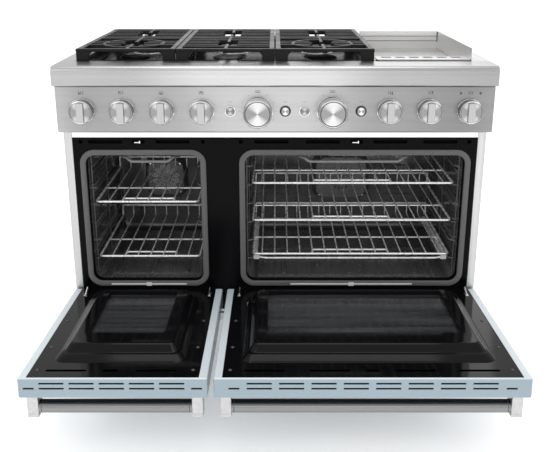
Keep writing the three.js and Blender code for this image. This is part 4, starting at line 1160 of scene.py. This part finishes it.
def add_cooktop_frame():
    low, high = node_box("cooktop_frame")
    top = node_box("bullnose")[1].z
    pan_low, pan_high = node_box("burner_pan")
    plate_low, plate_high = node_box("griddle_plate")
    wall_x = plate_high.x + 1
    under = top - 19
    bm = bmesh.new()
    slab(bm, (low.x, low.y, under), (pan_low.x - 0.3, high.y, top), 1.2)
    slab(bm, (wall_x + 3.2, low.y, under), (high.x, high.y, top), 1.2)
    slab(bm, (pan_low.x - 1, pan_high.y + 0.4, under), (plate_low.x, high.y, top), 1.2)
    splash_y = plate_high.y + 1
    slab(bm, (plate_low.x - 1, splash_y + 3.2, under), (wall_x + 4, high.y, top), 1.2)
    slab(bm, (low.x, high.y - 14, top - 4), (high.x, high.y, top + 8), 2.4, 3)
    emit("cooktop_rims", bm, "deck", slot="stainless", replaces=["cooktop_frame"])
    wall_top = high.z
    rear = slabs(((plate_low.x, splash_y, low.z), (wall_x + 3, splash_y + 3, wall_top)), bevel=1.2)
    emit("splash_wall_rear", rear, "strip", slot="stainless")
    middle = (top + wall_top) / 2
    x0, x1, y0, y1 = plate_low.x + 2, wall_x - 3, splash_y - 0.5, splash_y + 1
    # Painted shade: black lines along the wall's fold, its foot and its corner.
    lines = slabs(((x0, y0, middle - 0.9), (x1, y1, middle + 0.9)),
                  ((x0, y0, top + 1), (x1, y1, top + 3.2)),
                  ((wall_x - 2.6, splash_y - 0.6, top), (wall_x - 0.2, splash_y + 1, wall_top - 4)))
    emit("splash_wall_shade_lines", lines, "element", slot="stainless")
    side = slabs(((wall_x, low.y + 1, low.z), (wall_x + 3, splash_y + 3, wall_top)), bevel=1.2)
    emit("splash_wall_side", side, "strip", slot="stainless")
    # The vent slots are painted shade: thin black slabs, with no holes cut.
    slots = bmesh.new()
    for i in range(22):
        x = low.x + 60 + i * (high.x - low.x - 120) / 21
        slab(slots, (x - 16, high.y - 9, top + 7.6), (x + 16, high.y - 5.5, top + 7.95), 0.1)
    emit("rear_trim_vent_shade", slots, "dark", slot="stainless")


def burner_spots():
    for column in ("left", "centre", "right"):
        for row in ("front", "rear"):
            node = f"burner_{column}_{row}"
            x, y, _ = node_middle(node)
            yield column, row, x, y, node_box(node)[0].z


def add_pan():
    low, high = node_box("burner_pan")
    rim = 14
    bm = bmesh.new()
    floor = low.z + 2

    def flat(inset, radius, z):
        ring = rounded(low.x + inset, high.x - inset, low.y + inset, high.y - inset, radius, 6)
        return [(x, y, z) for x, y in ring]

    ring_faces(bm, [flat(0, 6, high.z - 3), flat(0, 6, high.z - 0.8), flat(0.8, 6, high.z),
                    flat(rim - 1, 16, high.z), flat(rim, 16, high.z - 1.2), flat(rim + 3, 16, floor + 8),
                    flat(rim + 6, 18, floor + 2), flat(rim + 12, 18, floor)], cap_start=False)
    emit("pan_enamel_tray", bm, "pan", slot="black_porcelain", replaces=["burner_pan"], thickness=-1.2)
    bm = bmesh.new()
    for _, _, x, y, z in burner_spots():
        lathe(bm, [(74, floor - 0.3), (70, floor + 0.9), (64, floor + 1.3), (60, floor + 0.2)],
              (x, y, 0), "Z", 56)
    third = (high.x - low.x - 4) / 3
    for i in (1, 2):
        x = low.x + 2 + third * i
        slab(bm, (x - 7, low.y + rim + 8, floor - 1), (x + 7, high.y - rim - 8, floor + 5), 3, 3)
    emit("pan_embossing", bm, "pan", slot="black_porcelain")


def add_burner(column, row, x, y, z):
    name = f"burner_{column}_{row}"
    radius = 46
    bm = bmesh.new()
    lathe(bm, [(0, 0.3), (radius + 5, 0.3), (radius + 6, 1.5), (radius + 2, 4.6), (radius * 0.78, 6.4),
               (radius * 0.74, 7.4), (0, 7.4)], (x, y, z), "Z", 56)
    lathe(bm, [(0, 4), (3.2, 4), (3.2, 17), (2, 18.6), (0, 18.8)], (x + radius * 0.86, y - 14, z), "Z", 14)
    emit(f"{name}_base", bm, "port", slot="cast_iron")
    bm = bmesh.new()
    teeth = 40
    rings = []
    for h, inner in ((7.3, 0.735), (8.6, 0.74), (15.6, 0.76), (16.6, 0.76)):
        ring = []
        for i in range(teeth * 4):
            out = 1.0 if i % 4 in (0, 1) else 0.93
            angle = 2 * math.pi * i / (teeth * 4)
            r = radius * inner * (out if 8 < h < 16 else 0.96)
            ring.append((x + r * math.cos(angle), y + r * math.sin(angle), z + h))
        rings.append(ring)
    ring_faces(bm, rings)
    emit(f"{name}_head", bm, "port", slot="cast_iron")
    cap = [(0, 16.4), (radius - 2, 16.4), (radius, 17.4), (radius, 20), (radius - 1, 21.6),
           (radius - 4, 23), (radius - 9, 23.5), (radius * 0.5, 23.9), (0, 24)]
    emit(f"{name}_cap", lathe(bmesh.new(), cap, (x, y, z), "Z", 64), "cap", slot="cast_iron",
         replaces=[name])


GRATE_BAR = 10
GRATE_FOOT = 36                # width of a corner foot
GRATE_RING = 88                # radius of the round bar over a front burner
GRATE_EYE = 28.5               # clear radius that the bars leave over a burner


def bar_bm(bm, low, high, axis, flare=1.6):
    """A cast bar: narrower on top than below, edges rounded."""
    (x0, y0, z0), (x1, y1, z1) = low, high
    rings = []
    for z, grow in ((z0, flare * 0.5), (z0 + 1.2, flare), (z1 - 3.2, 0.5), (z1 - 1, -0.4), (z1, -1.9)):
        gx = grow if axis == "Y" else min(grow, 0.4)
        gy = grow if axis == "X" else min(grow, 0.4)
        rings.append([(x0 - gx, y0 - gy, z), (x1 + gx, y0 - gy, z),
                      (x1 + gx, y1 + gy, z), (x0 - gx, y1 + gy, z)])
    ring_faces(bm, rings)


def add_grate(column):
    low, high = node_box(f"grate_{column}")
    cx = (low.x + high.x) / 2
    w = (high.x - low.x) / 2
    y0, y1, z0, z1 = low.y, high.y, low.z, high.z
    middle = (y0 + y1) / 2
    spots = {row: (x, y) for name, row, x, y, _ in burner_spots() if name == column}
    front, rear = spots["front"][1], spots["rear"][1]
    floor = z1 - 14
    inner = GRATE_EYE
    half = GRATE_BAR / 2 - 0.4
    bm = bmesh.new()

    def across(a, b, y, wide=half):
        bar_bm(bm, (cx + a, y - wide, floor), (cx + b, y + wide, z1), "X")

    def deep(x, a, b):
        bar_bm(bm, (cx + x - half, a, floor), (cx + x + half, b, z1), "Y")

    for a, b in ((y0, y0 + 12), (y1 - 12, y1)):
        slab(bm, (cx - w, a, z1 - 9), (cx + w, b, z1), 2.2, 3)
        for sign in (-1, 1):
            edges = sorted((cx + sign * (w - 0.4), cx + sign * (w - GRATE_FOOT)))
            slab(bm, (edges[0], a + 0.4, z0), (edges[1], b - 0.4, z1 - 1), 2.4, 3)
            inward = cx + sign * (w - GRATE_FOOT + 2)
            brace = [(inward, z1 - 22), (inward, z1 - 7), (inward - sign * 13, z1 - 7)]
            ring_faces(bm, [stand(brace, y) for y in (a + 0.8, b - 0.8)])
    for sign in (-1, 1):
        edges = sorted((cx + sign * (w - 0.8), cx + sign * (w - 16)))
        slab(bm, (edges[0], y0 + 1, z1 - 16), (edges[1], y1 - 1, z1 + 0.2), 3.0, 3)
    across(-w + 2, w - 2, middle, 7)
    rows = (y1 - middle) / 6
    for k in (1, 5):
        across(-w + 2, w - 2, middle + k * rows)
    for k in (2, 3, 4):
        across(-w + 2, -inner, middle + k * rows)
        across(inner, w - 2, middle + k * rows)
    deep(0, middle, rear - inner)
    deep(0, rear + inner, y1 - 2)
    deep(0, y0 + 2, front - inner)
    deep(0, front + inner, middle)
    if column == "centre":
        for k in (-2, 2):
            across(-w + 2, w - 2, front + k * 38)
        for k in (-1, 0, 1):
            across(-w + 2, -inner, front + k * 38)
            across(inner, w - 2, front + k * 38)
    else:
        ring = GRATE_RING
        lathe(bm, [(ring - 5.5, floor), (ring + 5.5, floor), (ring + 5.6, z1 - 4), (ring + 4, z1 - 1.2),
                   (ring + 2, z1), (ring - 2, z1), (ring - 4, z1 - 1.2), (ring - 5.6, z1 - 4),
                   (ring - 5.5, floor)], (cx, front, 0), "Z", 72)
        for k in (-1, 0, 1):
            start = inner if k == 0 else inner + 6
            across(-w + 2, -start, front + k * 38)
            across(start, w - 2, front + k * 38)
    node = f"grate_{column}"
    emit(f"{node}_casting", bm, "iron", node, "cast_iron", [node], sharp=50)


GUTTER_SETBACK = 69            # griddle's gutter in front of its rear edge
TRAY_SLOTS = 6


def add_griddle():
    low, high = node_box("griddle_plate")
    gutter = high.y - GUTTER_SETBACK
    plates = slabs(((low.x, low.y, low.z), (high.x, gutter - 3, high.z)),
                   ((low.x, gutter + 3, low.z), (high.x, high.y, high.z)), bevel=1.2)
    emit("griddle_surface", plates, "griddle", slot="griddle_steel", replaces=["griddle_plate"])
    # Painted shade: the gutter's bed is near black, for the shade in the groove.
    bed = slabs(((low.x + 1, gutter - 6, low.z + 0.5), (high.x - 1, gutter + 6, high.z - 5)))
    emit("griddle_gutter", bed, "ink", slot="griddle_steel")


def add_tray():
    low, high = node_box("grease_tray")
    x0, x1, y0, y1, z0, z1 = low.x, high.x, low.y, high.y, low.z, high.z
    pitch = (x1 - x0 - 24) / TRAY_SLOTS
    slots = []
    for i in range(TRAY_SLOTS):
        start = x0 + 12 + i * pitch + pitch * 0.14
        slots.append(rounded(start, start + pitch * 0.72, y1 - 26, y1 - 7, 4.2, 4))
    lid = plate(rounded(x0, x1, y0, y1, 4, 4), slots, -z1, -(z1 - 3), 0.8)
    lid.transform(Matrix(((1, 0, 0, 0), (0, 0, 1, 0), (0, -1, 0, 0), (0, 0, 0, 1))))
    emit("tray_lid", lid, "deck", "grease_tray", "stainless", ["grease_tray"])
    a, b, c, d, top = x0 + 4, x1 - 4, y0 + 4, y1 - 4, z1 - 2
    trough = slabs(((a, c, z0), (b, c + 2, top)), ((a, d - 2, z0), (b, d, top)),
                   ((a, c, z0), (a + 2, d, top)), ((b - 2, c, z0), (b, d, top)),
                   ((a, c, z0), (b, d, z0 + 2)), bevel=0.4)
    emit("tray_trough", trough, "steel_deep", "grease_tray", "stainless")
    # Painted shade: a near-black slab in the trough shows dark through the lid's slots.
    shade = slabs(((x0 + 7, y0 + 7, z0 + 2.4), (x1 - 7, y1 - 6.4, z1 - 5)))
    emit("tray_painted_shade", shade, "ink", "grease_tray", "stainless")


# ------------------------------------------------------------------ doors
DOOR = {"thick": 52, "inner": 16, "below": 16, "sheet": 2, "flange": 20}
OPEN_ANGLE = 87.2
WINDOW_INSET = (63, 21, 106)   # window inside the plug's foot: at each side, below, above
PLUG = [  # inset at the sides, bottom and top, height, corner radius
    (0, 0, 0, 0, 26), (1.5, 0.8, 2, 1.2, 25), (4, 1.6, 6, 4, 24), (11, 4, 18, 10.4, 22),
    (14, 5, 22, 12, 21), (17, 6.2, 26, 12.3, 20), (19, 7.2, 29, 13.6, 19), (28, 10.4, 43, 24.5, 16),
    (31, 11.4, 47, 27.2, 15), (33, 12, 50, 28, 14), (37, 14, 54, 28, 12),
]
DOOR_VENTS = {  # slots in the long row, their pitch, the first one's place, and that of the short end slots
    "left": (5, 70.8, 50, 12.5),
    "right": (8, 76, 78, 35),
}
VENT_LENGTH, END_VENT_LENGTH, VENT_HALF_HEIGHT = 59, 26, 2.6
DOOR_SCREW = [(0, 2.4), (2.4, 2.2), (4.2, 1), (4.6, 0), (4.6, -0.6)]


def door_plan(side):
    """The closed door's measures about its hinge pin, and the matrix that lays it open."""
    pin = layout(JOINTS[f"door_{side}_hinge"]["pos_m"])
    pin.x = 0
    low, high = node_box(f"door_skin_{side}")
    x0, x1, z0, z1 = mouth(side)
    base = {"x0": x0 + 5, "x1": x1 - 5, "z0": z0 - pin.z + 5, "z1": z1 - pin.z - 3}
    beside, below, above = WINDOW_INSET
    return {
        "side": side, "x0": low.x, "x1": high.x, "low": -DOOR["below"],
        "high": (pin.y - low.y - 1.8) / math.sin(math.radians(OPEN_ANGLE)),
        "inner": DOOR["inner"], "outer": DOOR["inner"] - DOOR["thick"], "base": base,
        "matrix": Matrix.Translation(pin) @ Matrix.Rotation(math.radians(OPEN_ANGLE), 4, "X"),
        "window": (base["x0"] + beside, base["x1"] - beside, base["z0"] + below, base["z1"] - above),
    }


def door_piece(plan, name, source, paint, slot, node=None, **settings):
    """Emits a piece drawn on the closed door; node is the CAD node it stands for, less the side."""
    side = plan["side"]
    emit(f"{name}_{side}", source, paint, f"door_{side}", slot, [f"{node}_{side}"] if node else (),
         plan["matrix"], **settings)


def vent_slots(plan):
    """Slot starts and lengths along the door's top edge, for its two rows."""
    count, pitch, first, short = DOOR_VENTS[plan["side"]]
    long_row = [(plan["x0"] + first + i * pitch, VENT_LENGTH) for i in range(count)]
    ends = [(plan["x0"] + short, END_VENT_LENGTH), (plan["x1"] - short - END_VENT_LENGTH, END_VENT_LENGTH)]
    return long_row, long_row + ends


def add_door_skin(plan):
    x0, x1, y0, y1 = plan["x0"], plan["x1"], plan["outer"], plan["inner"]
    z0, z1, t, flange = plan["low"], plan["high"], DOOR["sheet"], DOOR["flange"]
    solid = slabs(((x0, y0, z0), (x1, y1, z1)), bevel=4.2, segments=4)
    opening = bmesh.new()
    ring_faces(opening, [stand(rounded(*plan["window"], 10, 5), y) for y in (y0 - 2, y0 + t + 2)])
    vents = bmesh.new()
    for row, y in zip(vent_slots(plan), (y1 - 14, y1 - 27)):
        for start, length in row:
            slab(vents, (start, y - VENT_HALF_HEIGHT, z1 - t - 1),
                 (start + length, y + VENT_HALF_HEIGHT, z1 + 1))
    cutters = [slabs(((x0 + t, y0 + t, z0 + t), (x1 - t, y1 - t, z1 - t))),
               slabs(((x0 + flange, y1 - t - 1, z0 + t), (x1 - flange, y1 + 2, z1 - 4))), opening, vents]
    door_piece(plan, "door_shell", carve(solid, cutters), "blue", "blue_enamel", "door_skin")
    shadow = slabs(((x0 + 8, y1 - 33, z1 - t - 2), (x1 - 8, y1 - 8, z1 - t - 0.2)))
    door_piece(plan, "door_vent_shadow", shadow, "dark", "black_porcelain")


def add_door_inner(plan):
    side, b, y, t = plan["side"], plan["base"], plan["inner"], DOOR["sheet"]
    x0, x1 = plan["x0"] + DOOR["flange"] + 0.3, plan["x1"] - DOOR["flange"] - 0.3
    z0, z1 = plan["low"] + t + 0.4, plan["high"] - 4.4
    w0, w1, v0, v1 = plan["window"]

    def ring(a, c, d, e, radius, height):
        return stand(rounded(a, c, d, e, radius, 8), y + height)

    rings = [ring(x0, x1, z0, z1, 4, -4), ring(x0, x1, z0, z1, 4, -1.2),
             ring(x0 + 1, x1 - 1, z0 + 1, z1 - 1, 4, -0.1)]
    for beside, below, above, height, radius in PLUG:
        rings.append(ring(b["x0"] + beside, b["x1"] - beside, b["z0"] + below, b["z1"] - above,
                          radius, height))
    for grow, radius, height in ((2, 8, 28), (0.4, 7, 27.4), (0, 6, 26), (0, 6, 15.6)):
        rings.append(ring(w0 - grow, w1 + grow, v0 - grow, v1 + grow, radius, height))
    bm = bmesh.new()
    ring_faces(bm, rings, cap_start=False, cap_end=False)
    bmesh.ops.recalc_face_normals(bm, faces=bm.faces)
    bmesh.ops.solidify(bm, geom=list(bm.faces), thickness=1.2)
    slot_z = (b["z1"] + plan["high"]) / 2
    outlines = [stadium(x, slot_z, VENT) for x in shares_at(VENTS[side], x0, x1)]
    outlines.append(stadium(*shares_at([LATCHES[side]], x0, x1), slot_z, LATCH))
    holes = bmesh.new()
    for outline in outlines:
        ring_faces(holes, [stand(outline, y - 8), stand(outline, y + 3)])
    door_piece(plan, "door_liner", carve(bm, [holes]), "porcelain", "black_porcelain", "door_inner_panel",
               sharp=28)
    # Painted shade: a black sheet behind the liner's vents and latch hole.
    backing = slabs(((x0 + 4, y - 10, z1 - 60), (x1 - 4, y - 8.4, z1 - 6)))
    door_piece(plan, "door_liner_painted_shade", backing, "dark", "black_porcelain")
    screws = bmesh.new()
    for z in (z0 + 40, (z0 + z1) / 2 - 40, (z0 + z1) / 2 + 110, z1 - 34):
        for x in (x0 + 17, x1 - 17):
            lathe(screws, DOOR_SCREW, (x, y, z), "Y", 16)
    door_piece(plan, "door_screws", screws, "element", "black_porcelain")


def add_door_window(plan):
    y, outer = plan["inner"], plan["outer"]
    w0, w1, v0, v1 = plan["window"]
    depths = ((y + 11.8, y + 15.5), (outer + 2.4, outer + 6.2))
    panes = [((w0 - 7, a, v0 - 7), (w1 + 7, b, v1 + 7)) for a, b in depths]
    door_piece(plan, "door_panes", slabs(*panes, bevel=0.6), "glass", "door_glass", "door_glass")
    spacer = plate(rounded(w0 - 9, w1 + 9, v0 - 9, v1 + 9, 6, 4),
                   [rounded(w0 + 5, w1 - 5, v0 + 5, v1 - 5, 5, 4)], outer + 8, y + 10)
    door_piece(plan, "door_pane_frame", spacer, "dark", "door_glass")


HANDLE = {"post_x": 27, "post_z": 36, "inset": 13, "below_top": 15, "out": 39.5, "bar": 16.3}
HANDLE_COLLAR = [(0, -0.5), (13.4, -0.5), (13.6, 1.5), (15.4, 4.5), (16.45, 5.5), (16.45, 7), (0, 7)]


def add_door_handle(plan):
    post_x, post_z, inset, bar = HANDLE["post_x"], HANDLE["post_z"], HANDLE["inset"], HANDLE["bar"]
    outer, z1 = plan["outer"], plan["high"] - HANDLE["below_top"]
    z0 = z1 - post_z
    axis = (0, outer - HANDLE["out"], z1 - post_z / 2)
    x0, x1 = plan["x0"] + inset, plan["x1"] - inset
    bm = bmesh.new()
    for x in (x0, x1 - post_x):
        slab(bm, (x, outer - 52, z0), (x + post_x, outer - 0.3, z1), 3.0, 4)
        slab(bm, (x + 0.8, outer - 53.4, z0 + 0.8), (x + post_x - 0.8, outer - 51, z1 - 0.8))
        slab(bm, (x, outer - 61, z0), (x + post_x, outer - 53, z1), 2.4, 4)
    door_piece(plan, "handle_posts", bm, "post", "handle_steel", sharp=40)
    a, b = x0 + post_x - 1, x1 - post_x + 1
    grip = lathe(bmesh.new(), [(0, a), (bar, a), (bar, b), (0, b)], axis, "X", 48)
    door_piece(plan, "handle_bar", grip, "handle", "handle_steel", "door_handle")
    bm = bmesh.new()
    for start, sign in ((x0 + post_x, 1), (x1 - post_x, -1)):
        lathe(bm, HANDLE_COLLAR, (start, *axis[1:]), "X", 48, sign)
    # The collars are painted shade: black, for the dark groove at the posts' ends.
    door_piece(plan, "handle_collars", bm, "element", "handle_steel")


def add_hinge_arms(plan):
    xs = hinge_xs()[:2] if plan["side"] == "left" else hinge_xs()[2:]
    inner = plan["inner"]
    bm = bmesh.new()
    for x in xs:
        path = [(x, inner + 0.8, 30), (x, inner + 8, 14), (x, inner + 14, 4), (x, inner + 8, -3)]
        tube(bm, path, 2.6, 10, 6)
        slab(bm, (x - 4.5, inner - 0.4, 20), (x + 4.5, inner + 1.8, 40), 0.8)
    door_piece(plan, "hinge_arms", bm, "chrome", "handle_steel")


FLOOR_REACH = 30000


def add_floor():
    bm = slabs(((-FLOOR_REACH, -FLOOR_REACH, -20), (FLOOR_REACH, FLOOR_REACH, 0)))
    mesh = bpy.data.meshes.new("floor")
    bm.to_mesh(mesh)
    bm.free()
    mesh.transform(Matrix.Scale(0.001, 4))
    floor = bpy.data.objects.new("floor", mesh)
    bpy.context.collection.objects.link(floor)
    mesh.materials.append(floor_paint())


# ------------------------------------------------------------------ the scene
add_camera()
add_studio()
add_floor()
add_cabinet()
add_back()
add_base()
add_front_frame()
add_gaskets()
for oven_side in ("left", "right"):
    add_liner(oven_side)
    add_broiler(oven_side)
    add_fan_cover(oven_side)
    add_fan(oven_side)
    door = door_plan(oven_side)
    add_door_skin(door)
    add_door_inner(door)
    add_door_window(door)
    add_door_handle(door)
    add_hinge_arms(door)
for rack_name in ("rack_left_lower", "rack_left_upper"):
    add_rack(rack_name, 2)
for rack_name in ("rack_right_upper", "rack_right_middle", "rack_right_glide"):
    add_rack(rack_name, 3)
add_glide()
add_controls()
add_bullnose()
add_cooktop_frame()
add_pan()
for spot in burner_spots():
    add_burner(*spot)
for grate_name in ("left", "centre", "right"):
    add_grate(grate_name)
add_griddle()
add_tray()
